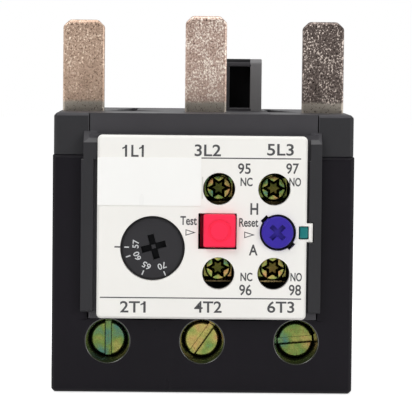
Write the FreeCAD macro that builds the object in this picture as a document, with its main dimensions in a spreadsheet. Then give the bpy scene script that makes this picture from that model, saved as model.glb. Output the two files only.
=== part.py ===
import FreeCAD, Part
import math
import os
import re
import Sketcher

# Thermal overload relay: a moulded case that stands on its underside, three blades that plug
# into a contactor above, three box clamps below, and the tripping mechanism inside.
# Millimetres. +X is right, the face plate looks along -Y and +Z is up.
# The origin is on the underside, midway across the width, on the plane between the two case halves.

SIZES = {
    # case
    "body_width": 70.2,
    "upper_inset": 0.2,
    "step_height": 55.4,
    "upper_height": 9.8,
    "lower_front": 36.2,
    "upper_front": 35.4,
    "case_back": 41.2,
    "case_wall": 2.2,
    "top_wall": 4.4,
    "partition": 1.6,
    "edge_round": 0.7,
    "draft_run": 0.5,
    "seam_gap": 0.2,
    "running_gap": 0.05,
    "guide_gap": 0.25,
    "seat_gap": 0.3,
    "stop_gap": 0.6,
    # front cover and its rails
    "cover_width": 53.0,
    "cover_bottom": 17.4,
    "cover_face": 37.2,
    "cover_wall": 2.0,
    "skirt_wall": 1.5,
    "rail_front": 38.5,
    "rail_width": 2.9,
    "rail_outer": 27.9,
    "rail_bottom": 19.0,
    "rail_rise": 5.6,
    "rail_bevel": 2.6,
    "rail_drop": 0.9,
    "rail_shift": 0.5,
    # face plate
    "plate_left": 24.6,
    "plate_right": 24.0,
    "plate_bottom": 17.6,
    "plate_rise": 4.8,
    "plate_front": 39.2,
    "plate_corner": 1.1,
    "plate_round": 0.5,
    "tab_right": 25.4,
    "tab_bottom": 35.7,
    "tab_top": 40.1,
    # setting dial, eccentric and adjusting slide
    "dial_centre_x": 11.7,
    "dial_centre_z": 34.0,
    "dial_radius": 7.4,
    "dial_face": 38.2,
    "dial_rim": 0.5,
    "dial_thick": 4.4,
    "dial_flange": 0.8,
    "dial_shaft": 2.2,
    "dial_journal": 1.5,
    "dial_cross_length": 5.8,
    "dial_cross_width": 1.5,
    "dial_cross_depth": 1.3,
    "dial_cross_turn": 15.0,
    "cam_radius": 3.4,
    "cam_throw": 0.9,
    "cam_start": 34.0,
    "cam_gap": 0.15,
    "slide_front": 18.9,
    "slide_thick": 1.8,
    "frame_rim": 1.7,
    # test button
    "test_x": 3.5,
    "test_z": 38.1,
    "test_width": 7.4,
    "test_height": 7.6,
    "test_front": 41.2,
    "test_travel": 2.5,
    "test_flange": 0.75,
    "test_flange_thick": 1.1,
    "test_ring": 2.7,
    "test_ring_width": 0.6,
    "test_ring_depth": 0.25,
    "button_gap": 0.3,
    "button_round": 0.6,
    # reset button
    "reset_x": 17.3,
    "reset_z": 37.9,
    "reset_radius": 3.85,
    "reset_gap": 0.35,
    "reset_front": 40.6,
    "reset_travel": 2.0,
    "reset_stem": 3.2,
    "reset_cross_length": 4.4,
    "reset_cross_width": 1.15,
    "reset_cross_depth": 1.2,
    "reset_tab_reach": 0.15,
    "reset_tab_width": 1.6,
    "reset_notch_width": 1.9,
    "reset_notch_reach": 4.75,
    "sleeve_radius": 4.7,
    "sleeve_bore": 3.3,
    "sleeve_floor": 0.8,
    # trip indicator
    "flag_x": 23.3,
    "flag_z": 37.9,
    "flag_width": 1.9,
    "flag_height": 2.6,
    "flag_front": 39.5,
    "flag_round": 0.3,
    "test_spring_x": 0.9,
    "test_spring_z": 34.95,
    "spring_post": 22.0,
    "spring_wire": 0.3,
    "spring_turns": 5,
    "test_coil": 0.7,
    "reset_coil": 2.75,
    "aux_cross_length": 3.6,
    "aux_cross_width": 0.9,
    "rocker_hub_height": 10.0,
    "leg_front": 22.0,
    "snap_x": 16.0,
    "snap_width": 2.0,
    # auxiliary terminals
    "aux_left": 3.6,
    "aux_right": 16.4,
    "aux_high": 47.9,
    "aux_low": 29.2,
    "hole_drop": 0.9,
    "aux_hole": 3.73,
    "aux_head": 3.05,
    "aux_head_thick": 2.2,
    "aux_shank": 1.75,
    "aux_screw_length": 6.8,
    "aux_travel": 1.6,
    "aux_recess": 1.1,
    "washer_side": 6.4,
    "washer_thick": 1.0,
    "washer_dish": 0.5,
    "aux_plate_front": 27.6,
    "aux_plate_thick": 1.2,
    "aux_plate_width": 6.6,
    "aux_plate_height": 7.6,
    "tongue_width": 3.0,
    "tongue_gap": 9.0,
    # contact rocker
    "rocker_x": 10.2,
    "rocker_y": 24.6,
    "rocker_front": 25.8,
    "rocker_right_face": 24.55,
    "rocker_back": 23.4,
    "rocker_height": 4.0,
    "rocker_left": 3.0,
    "rocker_right": 24.0,
    "rocker_hub": 2.2,
    "rocker_pin": 1.2,
    "leg_width": 1.6,
    "leg_back": 19.4,
    "leg_bottom": 25.0,
    "bridge_width": 2.4,
    "bridge_thick": 0.5,
    "bridge_length": 11.0,
    # mechanism base
    "base_back": 13.4,
    "base_thick": 1.6,
    "post_width": 6.0,
    "pin_lug": 2.0,
    "rib_length": 5.0,
    "rib_stop": 1.0,
    # trip lever
    "lever_x": 5.0,
    "lever_y": 17.0,
    "lever_bottom": 24.0,
    "lever_height": 3.6,
    "lever_width": 1.6,
    "lever_front": 21.0,
    "lever_pin": 0.9,
    "lever_hub": 1.5,
    "lug_thick": 1.7,
    "lug_half": 1.65,
    "strip_thick": 0.8,
    "strip_end": 3.4,
    # slides of the thermal part
    "bar_front": 3.0,
    "bar_back": 1.5,
    "bar_thick": 2.4,
    "push_bottom": 20.6,
    "bar_spacing": 0.5,
    "push_travel": 2.2,
    "phase_loss": 0.6,
    "finger_thick": 1.5,
    "finger_gap": 0.3,
    "return_gap": 0.7,
    "finger_back": 11.0,
    "rod_width": 2.0,
    "rod_gap": 1.2,
    "rod_front": 5.4,
    "rod_pin": 0.8,
    "rod_pin_front": 1.8,
    "rod_pin_back": 0.6,
    # conductors
    "terminal_pitch": 22.0,
    "blade_pitch": 28.9,
    "middle_shift": 0.6,
    "blade_width": 10.0,
    "blade_thick": 3.0,
    "blade_front": 13.0,
    "blade_length": 22.0,
    "middle_rise": 1.15,
    "blade_corner": 1.6,
    "blade_lead": 0.8,
    "blade_gap": 0.25,
    "foot_rise": 1.6,
    "foot_thick": 2.6,
    "foot_back": 14.6,
    "foot_width": 8.0,
    "foot_inset": 1.6,
    "foot_turn": 2.0,
    "strip_width": 8.0,
    "bimetal_thick": 1.2,
    "bimetal_bottom": 21.2,
    "bimetal_y": 8.0,
    "coil_half_width": 3.6,
    "coil_half_depth": 5.2,
    "coil_tape": 0.5,
    "coil_width": 2.0,
    "coil_pitch": 4.4,
    "coil_turns": 4,
    "coil_bottom": 28.0,
    # box clamps
    "well_radius": 5.1,
    "well_depth": 8.2,
    "terminal_z": 12.1,
    "screw_head": 4.15,
    "screw_head_thick": 3.0,
    "screw_face": 31.2,
    "screw_shank": 3.0,
    "slot_width": 1.5,
    "slot_depth": 1.4,
    "ledge_thick": 2.0,
    "bar_y": 13.0,
    "load_bar_thick": 2.4,
    "load_bar_width": 8.0,
    "load_bar_bottom": 4.5,
    "load_bar_top": 20.0,
    "cage_width": 12.4,
    "cage_height": 10.0,
    "cage_wall": 1.6,
    "cage_stop": 2.0,
    "cage_front_wall": 2.4,
    "cage_opening": 7.5,
    "cage_travel": 6.0,
    "cable_width": 10.0,
    "chamber_width": 13.0,
    "chamber_bottom": 4.2,
    "chamber_top": 17.4,
    "duct_left": 6.3,
    "duct_right": 15.7,
    "duct_front": 33.8,
    "duct_back": 26.1,
    # case screws and hook
    "case_screw_x": 11.0,
    "case_screw_low": 9.0,
    "case_screw_drop": 5.4,
    "case_screw_radius": 1.5,
    "case_screw_head": 2.8,
    "case_screw_head_thick": 2.0,
    "head_chamfer": 0.4,
    "case_screw_reach": 9.0,
    "screw_boss": 3.2,
    "hook_left": 5.9,
    "hook_width": 9.0,
    "hook_front": 10.0,
    "hook_depth": 8.0,
    "hook_height": 13.0,
    "hook_wall": 0.9,
    "hook_rib": 2.9,
    "hook_recess": 5.0,
    "hook_nose": 2.0,
    "hook_lead": 1.0,
    "hook_flange": 1.5,
    "pocket_depth": 2.4,
    "pocket_land": 2.0,
}

# lengths that follow from the sizes
DERIVED = {
    "upper_width": "body_width - 2 * upper_inset",
    "body_height": "step_height + upper_height",
    "rail_top": "step_height + rail_rise",
    "rail_step": "step_height - rail_drop",
    "plate_top": "step_height + plate_rise",
    "blade_top": "body_height + blade_length",
    "foot_bottom": "step_height + foot_rise",
    "hook_top": "body_height + hook_height",
    "hook_right": "hook_left + hook_width",
    "hook_back": "hook_front + hook_depth",
    "case_screw_high": "step_height - case_screw_drop",
    "middle_z": "(aux_high + aux_low) / 2",
    "test_back": "rocker_front + bridge_thick + test_travel + stop_gap",
    "reset_end": "aux_plate_front - aux_plate_thick + reset_travel + stop_gap",
    "aux_seat": "aux_plate_front + guide_gap + aux_travel + washer_dish + washer_thick + running_gap",
    "aux_face": "aux_seat + aux_head_thick",
    "cage_front": "lower_front - well_depth - ledge_thick - cage_stop - cage_travel",
    "flange_front": "cover_face - cover_wall - seat_gap",
    "dial_hole": "dial_radius + 2 * running_gap",
    "reset_hole": "reset_radius + reset_gap",
    "test_half_width": "test_width / 2 + button_gap",
    "test_half_height": "test_height / 2 + button_gap",
    "flag_half_width": "flag_width / 2 + seam_gap",
    "flag_half_height": "flag_height / 2 + seam_gap",
    "rod_x": "-lever_x + strip_thick / 2 + rod_gap + rod_width / 2",
    "difference_bottom": "push_bottom + bar_thick + bar_spacing",
    "rod_bottom": "push_bottom + 2 * bar_thick + bar_spacing + guide_gap",
    "cam_x": "-dial_centre_x + cam_throw * cos(cam_start * 1deg)",
    "lug_out": "rocker_hub_height / 2 + seat_gap",
    "frame_half_width": "cam_radius + cam_gap",
    "frame_half_height": "cam_radius + cam_throw + cam_gap",
    "rib_reach": "frame_rim + frame_half_height + guide_gap",
}


def word_pattern(names):
    """A pattern that finds any of the names as a whole word."""
    return re.compile(r"\b(" + "|".join(names) + r")\b")


SIZE_WORD = word_pattern(SIZES)
DERIVED_WORD = word_pattern(DERIVED)

doc = FreeCAD.newDocument("overload_relay")
sheet = doc.addObject("Spreadsheet::Sheet", "size")
for row, (alias, value) in enumerate(SIZES.items(), start=1):
    sheet.set("A%d" % row, alias)
    sheet.set("B%d" % row, str(value))
    sheet.setAlias("B%d" % row, alias)
doc.recompute()

kept = []


def spelled_out(text):
    """A formula in which every derived length is written in sizes."""
    while DERIVED_WORD.search(text):
        text = DERIVED_WORD.sub(lambda found: "(%s)" % DERIVED[found.group()], text)
    return text


def formula(text):
    """A formula in which every size is read from the sheet."""
    return SIZE_WORD.sub(lambda found: "size." + found.group(), spelled_out(str(text)))


def bind(item, **formulas):
    """Tie properties of an object to formulas; a double underscore stands for a dot."""
    for name, text in formulas.items():
        item.setExpression(name.replace("__", "."), formula(text))
    return item


def keep(item, label):
    """Give a finished piece the label that names its file."""
    item.Label = label
    kept.append(item)
    return item


# Simple solids and booleans

def block(x, y, z):
    """A box between two formulas along each axis."""
    item = doc.addObject("Part::Box", "block")
    bind(item, Length="(%s) - (%s)" % (x[1], x[0]), Width="(%s) - (%s)" % (y[1], y[0]),
         Height="(%s) - (%s)" % (z[1], z[0]))
    return bind(item, Placement__Base__x=x[0], Placement__Base__y=y[0], Placement__Base__z=z[0])


TURNS = {"X": FreeCAD.Rotation(FreeCAD.Vector(0, 1, 0), 90),
         "Y": FreeCAD.Rotation(FreeCAD.Vector(1, 0, 0), -90),
         "Z": FreeCAD.Rotation()}


def rod(axis, radius, start, end, **place):
    """A cylinder along an axis, from start to end, at the other two coordinates."""
    item = doc.addObject("Part::Cylinder", "rod")
    item.Placement = FreeCAD.Placement(FreeCAD.Vector(), TURNS[axis])
    bind(item, Radius=radius, Height="(%s) - (%s)" % (end, start))
    place[axis.lower()] = start
    for name, text in place.items():
        bind(item, **{"Placement__Base__" + name: text})
    return item


def fuse(*parts):
    """One solid from several that touch or overlap."""
    item = doc.addObject("Part::MultiFuse", "fuse")
    item.Shapes = list(parts)
    item.Refine = True
    return item


def cut(base, *tools):
    """The base with every tool taken away."""
    item = doc.addObject("Part::Cut", "cut")
    item.Base = base
    item.Tool = tools[0] if len(tools) == 1 else fuse(*tools)
    item.Refine = True
    return item


def group(*parts):
    """Separate solids that share one node."""
    item = doc.addObject("Part::Compound", "group")
    item.Links = list(parts)
    return item


def rounded(base, radius, chosen, kind="Part::Fillet"):
    """Round or chamfer the edges that the test picks."""
    doc.recompute()
    item = doc.addObject(kind, "rounded")
    item.Base = base
    amount = value_of(radius)
    numbers = [n for n, edge in enumerate(base.Shape.Edges, start=1) if chosen(edge)]
    item.Edges = [(n, amount, amount) for n in numbers]
    return item


def value_of(text):
    """The number that a formula of sizes gives."""
    return float(sheet.evalExpression(spelled_out(text)))


def swept(points, thick, tall):
    """A bar of rectangular section along straight runs, mitred where they meet."""
    first = points[0]
    run = points[1] - first
    out = FreeCAD.Vector(run.y, -run.x, 0).normalize() * (thick / 2)
    rise = FreeCAD.Vector(0, 0, tall / 2)
    corners = [first + out + rise, first + out - rise, first - out - rise, first - out + rise]
    section = Part.makePolygon(corners + corners[:1])
    return Part.makePolygon(points).makePipeShell([section], True, False, 1)


# Bodies with sketches

def origin_plane(owner, role):
    """One of a body's own origin planes."""
    return next(item for item in owner.Origin.OriginFeatures if item.Role == role)


def sketch_on(owner, role, offset="0"):
    """A sketch on an origin plane, moved along its normal."""
    sketch = owner.newObject("Sketcher::SketchObject", "outline")
    sketch.AttachmentSupport = [(origin_plane(owner, role), "")]
    sketch.MapMode = "FlatFace"
    return bind(sketch, AttachmentOffset__Base__z=offset)


def place_point(sketch, edge, end, across, up):
    """Hold one end of an edge at two formulas."""
    for kind, text in (("DistanceX", across), ("DistanceY", up)):
        number = sketch.addConstraint(Sketcher.Constraint(kind, -1, 1, edge, end, 1.0))
        sketch.setExpression("Constraints[%d]" % number, formula(text))


def polygon(sketch, corners):
    """A closed outline through corners that are given as formulas."""
    count = len(corners)
    turn = FreeCAD.Rotation(FreeCAD.Vector(0, 0, 1), 360.0 / count)
    points = [FreeCAD.Vector(10, 0, 0)]
    for _ in range(count - 1):
        points.append(turn.multVec(points[-1]))
    edges = [sketch.addGeometry(Part.LineSegment(points[n], points[(n + 1) % count]))
             for n in range(count)]
    for n in range(count):
        sketch.addConstraint(Sketcher.Constraint("Coincident", edges[n], 2, edges[(n + 1) % count], 1))
    for edge, (across, up) in zip(edges, corners):
        place_point(sketch, edge, 1, across, up)
    return sketch


def oblong(sketch, across, up):
    """A rectangle between two formulas each way."""
    return polygon(sketch, [(across[0], up[0]), (across[1], up[0]),
                            (across[1], up[1]), (across[0], up[1])])


def ring(sketch, across, up, radius):
    """A full circle."""
    circle = sketch.addGeometry(Part.Circle(FreeCAD.Vector(1, 1, 0), FreeCAD.Vector(0, 0, 1), 2))
    number = sketch.addConstraint(Sketcher.Constraint("Radius", circle, 2.0))
    sketch.setExpression("Constraints[%d]" % number, formula(radius))
    place_point(sketch, circle, 3, across, up)
    return sketch


def extrude(owner, kind, sketch, length):
    """A pad or a pocket of a sketch."""
    item = owner.newObject("PartDesign::" + kind, kind.lower())
    item.Profile = sketch
    bind(item, Length=length)
    sketch.Visibility = False
    return item


def slab(owner, front, back):
    """A sketch that faces the front, and the pad's length between two formulas along Y."""
    return sketch_on(owner, "XZ_Plane", "-(%s)" % back), "(%s) - (%s)" % (back, front)


def pad_slab(owner, draw, front, back):
    """Pad an outline in X and Z from back to front."""
    sketch, length = slab(owner, front, back)
    draw(sketch)
    return extrude(owner, "Pad", sketch, length)


def pad_plan(owner, draw, low, high):
    """Pad an outline in X and Y upwards."""
    sketch = sketch_on(owner, "XY_Plane", low)
    draw(sketch)
    return extrude(owner, "Pad", sketch, "(%s) - (%s)" % (high, low))


def pad_side(owner, draw, left, right):
    """Pad an outline in Y and Z to the right."""
    sketch = sketch_on(owner, "YZ_Plane", left)
    draw(sketch)
    return extrude(owner, "Pad", sketch, "(%s) - (%s)" % (right, left))


def pocket_front(owner, draw, front, depth):
    """Sink an outline in X and Z from a front face into the piece."""
    sketch = sketch_on(owner, "XZ_Plane", "-(%s)" % front)
    draw(sketch)
    return extrude(owner, "Pocket", sketch, depth)


def turned(owner, profile):
    """A piece turned about the Y axis from a profile of radius and Y."""
    sketch = polygon(sketch_on(owner, "XY_Plane"), profile)
    item = owner.newObject("PartDesign::Revolution", "turning")
    item.Profile = sketch
    item.ReferenceAxis = (sketch, ["V_Axis"])
    item.Angle = 360.0
    sketch.Visibility = False
    return item


def dressed(owner, kind, base, radius, chosen):
    """Round or chamfer the edges of a body's last feature that the test picks."""
    doc.recompute()
    names = ["Edge%d" % n for n, edge in enumerate(base.Shape.Edges, start=1) if chosen(edge)]
    item = owner.newObject("PartDesign::" + kind, kind.lower())
    item.Base = (base, names)
    bind(item, **{"Radius" if kind == "Fillet" else "Size": radius})
    return item


def runs_along(edge, axis):
    """True for a straight edge along an axis."""
    if not isinstance(edge.Curve, Part.Line):
        return False
    return abs(abs(getattr(edge.tangentAt(edge.FirstParameter), axis)) - 1) < 1e-6


def near(value, place):
    """True where a coordinate is at a place, to a hundredth."""
    return abs(value - place) < 0.01


def new_body(name):
    """An empty body."""
    return doc.addObject("PartDesign::Body", name)


PHASES = {"left": "-terminal_pitch", "middle": "0", "right": "terminal_pitch"}
BLADES = {"left": "-blade_pitch", "middle": "middle_shift", "right": "blade_pitch"}
AUX = {"nc_upper": ("aux_left", "aux_high"), "nc_lower": ("aux_left", "aux_low"),
       "no_upper": ("aux_right", "aux_high"), "no_lower": ("aux_right", "aux_low")}
SCREW_PLACES = [(side + "case_screw_x", level) for side in ("-", "")
                for level in ("case_screw_low", "case_screw_high")]
TEST_SPAN = [("test_x - test_half_width", "test_x + test_half_width"),
             ("test_z - test_half_height", "test_z + test_half_height")]
FLAG_SPAN = [("flag_x - flag_half_width", "flag_x + flag_half_width"),
             ("flag_z - flag_half_height", "flag_z + flag_half_height")]
AUX_HOLES = [("aux_left", "aux_high"), ("aux_left", "aux_low - hole_drop"),
             ("aux_right", "aux_high"), ("aux_right", "aux_low - hole_drop")]
# Case

def slide_window():
    """The passage through the partitions in which both slides run."""
    low = "push_bottom - guide_gap"
    high = "push_bottom + 2 * bar_thick + bar_spacing + guide_gap"
    return [block((side + "terminal_pitch / 2 - partition", side + "terminal_pitch / 2 + partition"),
                  ("-bar_front - guide_gap", "bar_back + guide_gap"), (low, high))
            for side in ("-", "")]


def compartments(front, back, low):
    """The three phase compartments between the partitions."""
    half = "terminal_pitch / 2"
    inner = "(%s - partition / 2)" % half
    outer = "(%s + partition / 2)" % half
    wall = "(body_width / 2 - case_wall)"
    spans = [("-" + wall, "-" + outer), ("-" + inner, inner), (outer, wall)]
    return [block(span, (front, back), (low, "step_height + 1")) for span in spans]


def terminal_housing():
    """The lower front moulding: wells and clamp chambers below, room for the mechanism above."""
    half = "body_width / 2"
    shell = block(("-" + half, half), ("-lower_front", "0"), ("0", "step_height"))
    shell = rounded(shell, "edge_round", lambda edge: near(edge.CenterOfMass.y, -value_of("lower_front"))
                    or (runs_along(edge, "y") and edge.CenterOfMass.z < 1), "Part::Chamfer")
    opening = "(cover_width / 2 + seam_gap)"
    tools = [block(("-" + opening, opening), ("-lower_front - 1", "-base_back + seam_gap"),
                   ("cover_bottom - seam_gap", "step_height + 1")),
             block(("duct_left", "duct_right"), ("-duct_front", "-duct_back"), ("-1", "cover_bottom"))]
    tools += compartments("-base_back + seam_gap", "1", "chamber_top")
    ledge = "-lower_front + well_depth"
    for place in PHASES.values():
        tools.append(block((place + " - chamber_width / 2", place + " + chamber_width / 2"),
                           (ledge + " + ledge_thick", "1"), ("chamber_bottom", "chamber_top + 0.01")))
        cable_y = ("-bar_y + load_bar_thick - seat_gap", "-bar_y + load_bar_thick + cage_opening + seat_gap")
        tools.append(block((place + " - cable_width / 2", place + " + cable_width / 2"), cable_y,
                           ("-1", "chamber_bottom + 1")))
        tools.append(rod("Y", "well_radius", "-lower_front - 1", ledge, x=place, z="terminal_z"))
        tools.append(rod("Y", "screw_shank + running_gap", ledge + " - 1", ledge + " + ledge_thick + 1",
                         x=place, z="terminal_z"))
    shell = cut(shell, *(tools + slide_window()))
    bosses = [rod("Y", "screw_boss", "-case_screw_reach - 1", "0", x=x, z=z)
              for x, z in SCREW_PLACES if z == "case_screw_high"]
    holes = [rod("Y", "case_screw_radius", "-case_screw_reach", "1", x=x, z=z) for x, z in SCREW_PLACES]
    keep(cut(fuse(shell, *bosses), *holes), "terminal_housing")


def rear_base():
    """The rear moulding: floor, back wall and the rear half of the phase compartments."""
    half = "body_width / 2"
    shell = block(("-" + half, half), ("0", "case_back"), ("0", "step_height"))
    shell = rounded(shell, "edge_round", lambda edge: near(edge.CenterOfMass.y, value_of("case_back"))
                    or (runs_along(edge, "y") and edge.CenterOfMass.z < 1), "Part::Chamfer")
    floor = "load_bar_top - load_bar_thick"
    shell = cut(shell, *(compartments("-1", "case_back - case_wall", floor) + slide_window()))
    bosses = [rod("Y", "screw_boss", "0", "case_back - case_wall", x=x, z=z)
              for x, z in SCREW_PLACES if z == "case_screw_high"]
    holes = []
    for x, z in SCREW_PLACES:
        holes.append(rod("Y", "case_screw_radius + running_gap", "-1", "case_back", x=x, z=z))
        holes.append(rod("Y", "case_screw_head + seam_gap", "case_back - case_screw_head_thick",
                         "case_back + 1", x=x, z=z))
    keep(cut(fuse(shell, *bosses), *holes), "rear_base")


def top_housing():
    """The upper moulding: slots for the blades, the hook's seat and two tapering pockets."""
    half = "upper_width / 2"
    shell = block(("-" + half, half), ("-upper_front", "case_back"), ("step_height", "body_height"))
    low = value_of("step_height")
    shell = rounded(shell, "edge_round", lambda edge: not near(edge.CenterOfMass.z, low), "Part::Chamfer")
    inside = "(upper_width / 2 - case_wall)"
    notch = "(cover_width / 2 + seam_gap)"
    tools = [block(("-" + inside, inside), ("-upper_front + case_wall", "case_back - case_wall"),
                   ("step_height - 1", "body_height - top_wall")),
             block(("-" + notch, notch), ("-upper_front - 1", "-duct_front + seam_gap / 2"),
                   ("step_height - 1", "body_height + 1")),
             block(("-" + notch, notch), ("-upper_front - 1", "-upper_front + case_wall + 1"),
                   ("step_height - 1", "body_height - top_wall")),
             block(("duct_left", "duct_right"), ("-duct_front - 1", "-duct_back"),
                   ("body_height - top_wall - 1", "body_height + 1")),
             block(("hook_left - seam_gap", "hook_right + seam_gap"),
                   ("hook_front - seam_gap", "hook_back + seam_gap"),
                   ("body_height - top_wall - 1", "body_height + 1"))]
    for place in BLADES.values():
        tools.append(block((place + " - blade_width / 2 - blade_gap", place + " + blade_width / 2 + blade_gap"),
                           ("-blade_front - blade_gap", "-blade_front + blade_thick + blade_gap"),
                           ("step_height - 1", "body_height + 1")))
    tools += [top_pocket(-1), top_pocket(1)]
    keep(cut(shell, *tools), "top_housing")


def top_pocket(side):
    """A shallow pocket behind the blades that narrows towards the middle of the back."""
    pocket = new_body("top_pocket")
    sign = "-" if side < 0 else ""
    front = "-blade_front + blade_thick + pocket_land"
    inner = "hook_right + hook_flange"
    corners = [("blade_pitch - blade_width / 2", front), ("terminal_pitch", "2 * pocket_land"),
               ("terminal_pitch - 2 * pocket_land", "case_back - 3 * pocket_land"),
               (inner, "case_back - 3 * pocket_land"), (inner, "hook_front - 2 * pocket_land"),
               ("hook_left + pocket_land / 2", front)]
    pad_plan(pocket, lambda sketch: polygon(sketch, [(sign + "(%s)" % x, y) for x, y in corners]),
             "body_height - pocket_depth", "body_height + 1")
    return pocket


def rail(left, right, low, high, bevel_top):
    """One stretch of a side rail, with a sloping top where it ends."""
    owner = new_body("rail")
    if bevel_top:
        seam = "step_height + seam_gap / 2"
        profile = [("-lower_front", low), ("-rail_front", low), ("-rail_front", high + " - rail_bevel"),
                   ("-upper_front", high), ("-upper_front", seam), ("-lower_front", seam)]
    else:
        profile = [("-lower_front", low), ("-rail_front + draft_run", low),
                   ("-rail_front", low + " + draft_run"), ("-rail_front", high), ("-lower_front", high)]
    pad_side(owner, lambda sketch: polygon(sketch, profile), left, right)
    return owner


def wall_openings(front, back):
    """What passes through the front wall: dial, buttons, flag and four terminal holes."""
    tools = [rod("Y", "dial_hole", front, back, x="-dial_centre_x", z="dial_centre_z"),
             rod("Y", "reset_hole", front, back, x="reset_x", z="reset_z"),
             reset_notch("notch", front, back),
             block(TEST_SPAN[0], (front, back), TEST_SPAN[1]),
             block(FLAG_SPAN[0], (front, back), FLAG_SPAN[1])]
    tools += [rod("Y", "aux_hole", front, back, x=x, z=z) for x, z in AUX_HOLES]
    return tools


def diagonal(u, v):
    """A point given along and across the reset button's diagonal, from the lower right to the upper left."""
    return ("reset_x - ((%s) + (%s)) * sqrt(0.5)" % (u, v), "reset_z + ((%s) - (%s)) * sqrt(0.5)" % (u, v))


def notch_corners():
    """The outline of the notch that runs across the reset hole in two directions."""
    reach, side = "reset_notch_reach", "reset_notch_width / 2"
    return [diagonal("-" + reach, "-" + side), diagonal(reach, "-" + side),
            diagonal(reach, side), diagonal("-" + reach, side)]


def reset_notch(name, front, back):
    """A bar that cuts both ends of the reset hole's notch."""
    notch = new_body(name)
    pad_slab(notch, lambda sketch: polygon(sketch, notch_corners()), front, back)
    return notch


def front_cover():
    """The middle moulding: front wall with its tongue, side rails and the mechanism box's skirts."""
    half = "cover_width / 2"
    inner = "(cover_width / 2 - skirt_wall)"
    top = "plate_top + seam_gap"
    outer = block(("-" + half, half), ("-cover_face", "-base_back"), ("cover_bottom", top))
    hollow = block(("-" + inner, inner), ("-cover_face + cover_wall", "0"),
                   ("cover_bottom + skirt_wall", top + " - skirt_wall"))
    box = cut(outer, hollow)
    tongue = block(("-" + half, half), ("-upper_front", "-duct_front"),
                   ("step_height + seam_gap", "body_height"))
    outside = "rail_outer - rail_shift"
    rails = [rail("-rail_outer", "-plate_left - seam_gap / 2", "rail_step", "rail_top", True),
             rail("-rail_outer - rail_shift", "-rail_outer - rail_shift + rail_width",
                  "rail_bottom", "rail_step", False),
             rail("plate_right + 4 * seam_gap", outside, "rail_step", "rail_top", True),
             rail(outside + " - rail_width", outside, "rail_bottom", "rail_step", False)]
    cover = fuse(box, tongue, *rails)
    tools = wall_openings("-cover_face - 2", "-cover_face + cover_wall + 1")
    duct_x, duct_y = ("duct_left", "duct_right"), ("-duct_front", "-duct_back")
    tools.append(block(duct_x, duct_y, ("0", "cover_bottom + skirt_wall + 1")))
    tools.append(block(duct_x, duct_y, (top + " - skirt_wall - 1", "body_height + 1")))
    tools.append(block(("plate_right + seam_gap", "tab_right + seam_gap"), ("-rail_front - 1", "-cover_face"),
                       ("tab_bottom - seam_gap", "tab_top + seam_gap")))
    keep(cut(cover, *tools), "front_cover")


def face_plate():
    """The pale front plate with its holes and the small tab round the flag."""
    plate = new_body("plate")
    front = "-plate_front"
    outline = [("-plate_left", "plate_bottom"), ("plate_right", "plate_bottom"), ("plate_right", "tab_bottom"),
               ("tab_right", "tab_bottom"), ("tab_right", "tab_top"), ("plate_right", "tab_top"),
               ("plate_right", "plate_top"), ("-plate_left", "plate_top")]
    base = pad_slab(plate, lambda sketch: polygon(sketch, outline), front, "-cover_face")
    low, high = value_of("plate_bottom"), value_of("plate_top")
    base = dressed(plate, "Fillet", base, "plate_corner", lambda edge: runs_along(edge, "y")
                   and (near(edge.CenterOfMass.z, low) or near(edge.CenterOfMass.z, high)))
    face = value_of(front)
    dressed(plate, "Chamfer", base, "plate_round", lambda edge: near(edge.CenterOfMass.y, face))
    depth = "plate_front - cover_face + 1"
    pocket_front(plate, lambda s: ring(s, "-dial_centre_x", "dial_centre_z", "dial_hole"), front, depth)
    pocket_front(plate, lambda s: ring(s, "reset_x", "reset_z", "reset_hole"), front, depth)
    pocket_front(plate, lambda s: polygon(s, notch_corners()), front, depth)
    pocket_front(plate, lambda s: oblong(s, *TEST_SPAN), front, depth)
    pocket_front(plate, lambda s: oblong(s, *FLAG_SPAN), front, depth)
    for x, z in AUX_HOLES:
        pocket_front(plate, lambda s: ring(s, x, z, "aux_hole"), front, depth)
    keep(plate, "face_plate")


def mounting_hook():
    """The lug behind the blades: a hollow-fronted post with a nose, held by its flange."""
    hook = new_body("hook")
    base = "body_height - top_wall"
    shoulder = "hook_top - hook_nose - hook_lead"
    profile = [("hook_front", base), ("hook_back", base), ("hook_back", shoulder + " - hook_nose"),
               ("hook_back + hook_nose", shoulder), ("hook_back + hook_nose", "hook_top - hook_lead"),
               ("hook_back + hook_lead", "hook_top"), ("hook_front + hook_lead", "hook_top"),
               ("hook_front", "hook_top - hook_lead")]
    pad_side(hook, lambda sketch: polygon(sketch, profile), "hook_left", "hook_right")
    flange_x = ("hook_left - hook_flange", "hook_right + hook_flange")
    flange_y = ("hook_front - hook_flange", "hook_back + hook_flange")
    pad_plan(hook, lambda s: oblong(s, flange_x, flange_y), base + " - hook_flange", base)
    recess_x = ("hook_left + hook_wall", "hook_right - hook_rib")
    recess_z = ("body_height + edge_round", "hook_top - hook_lead - hook_wall")
    pocket_front(hook, lambda s: oblong(s, recess_x, recess_z), "hook_front", "hook_recess")
    keep(hook, "mounting_hook")


def case_screws():
    """Four long screws that hold the case halves together, entered from the back."""
    screws = []
    for x, z in SCREW_PLACES:
        screw = new_body("case_screw")
        head = "case_back - case_screw_head_thick"
        turned(screw, [("0", "-case_screw_reach"), ("case_screw_radius", "-case_screw_reach"),
                       ("case_screw_radius", head), ("case_screw_head", head),
                       ("case_screw_head", "case_back - head_chamfer"),
                       ("case_screw_head - head_chamfer", "case_back"), ("0", "case_back")])
        bind(screw, Placement__Base__x=x, Placement__Base__z=z)
        screws.append(screw)
    keep(group(*screws), "case_screws")


# Conductors and clamps

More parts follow.
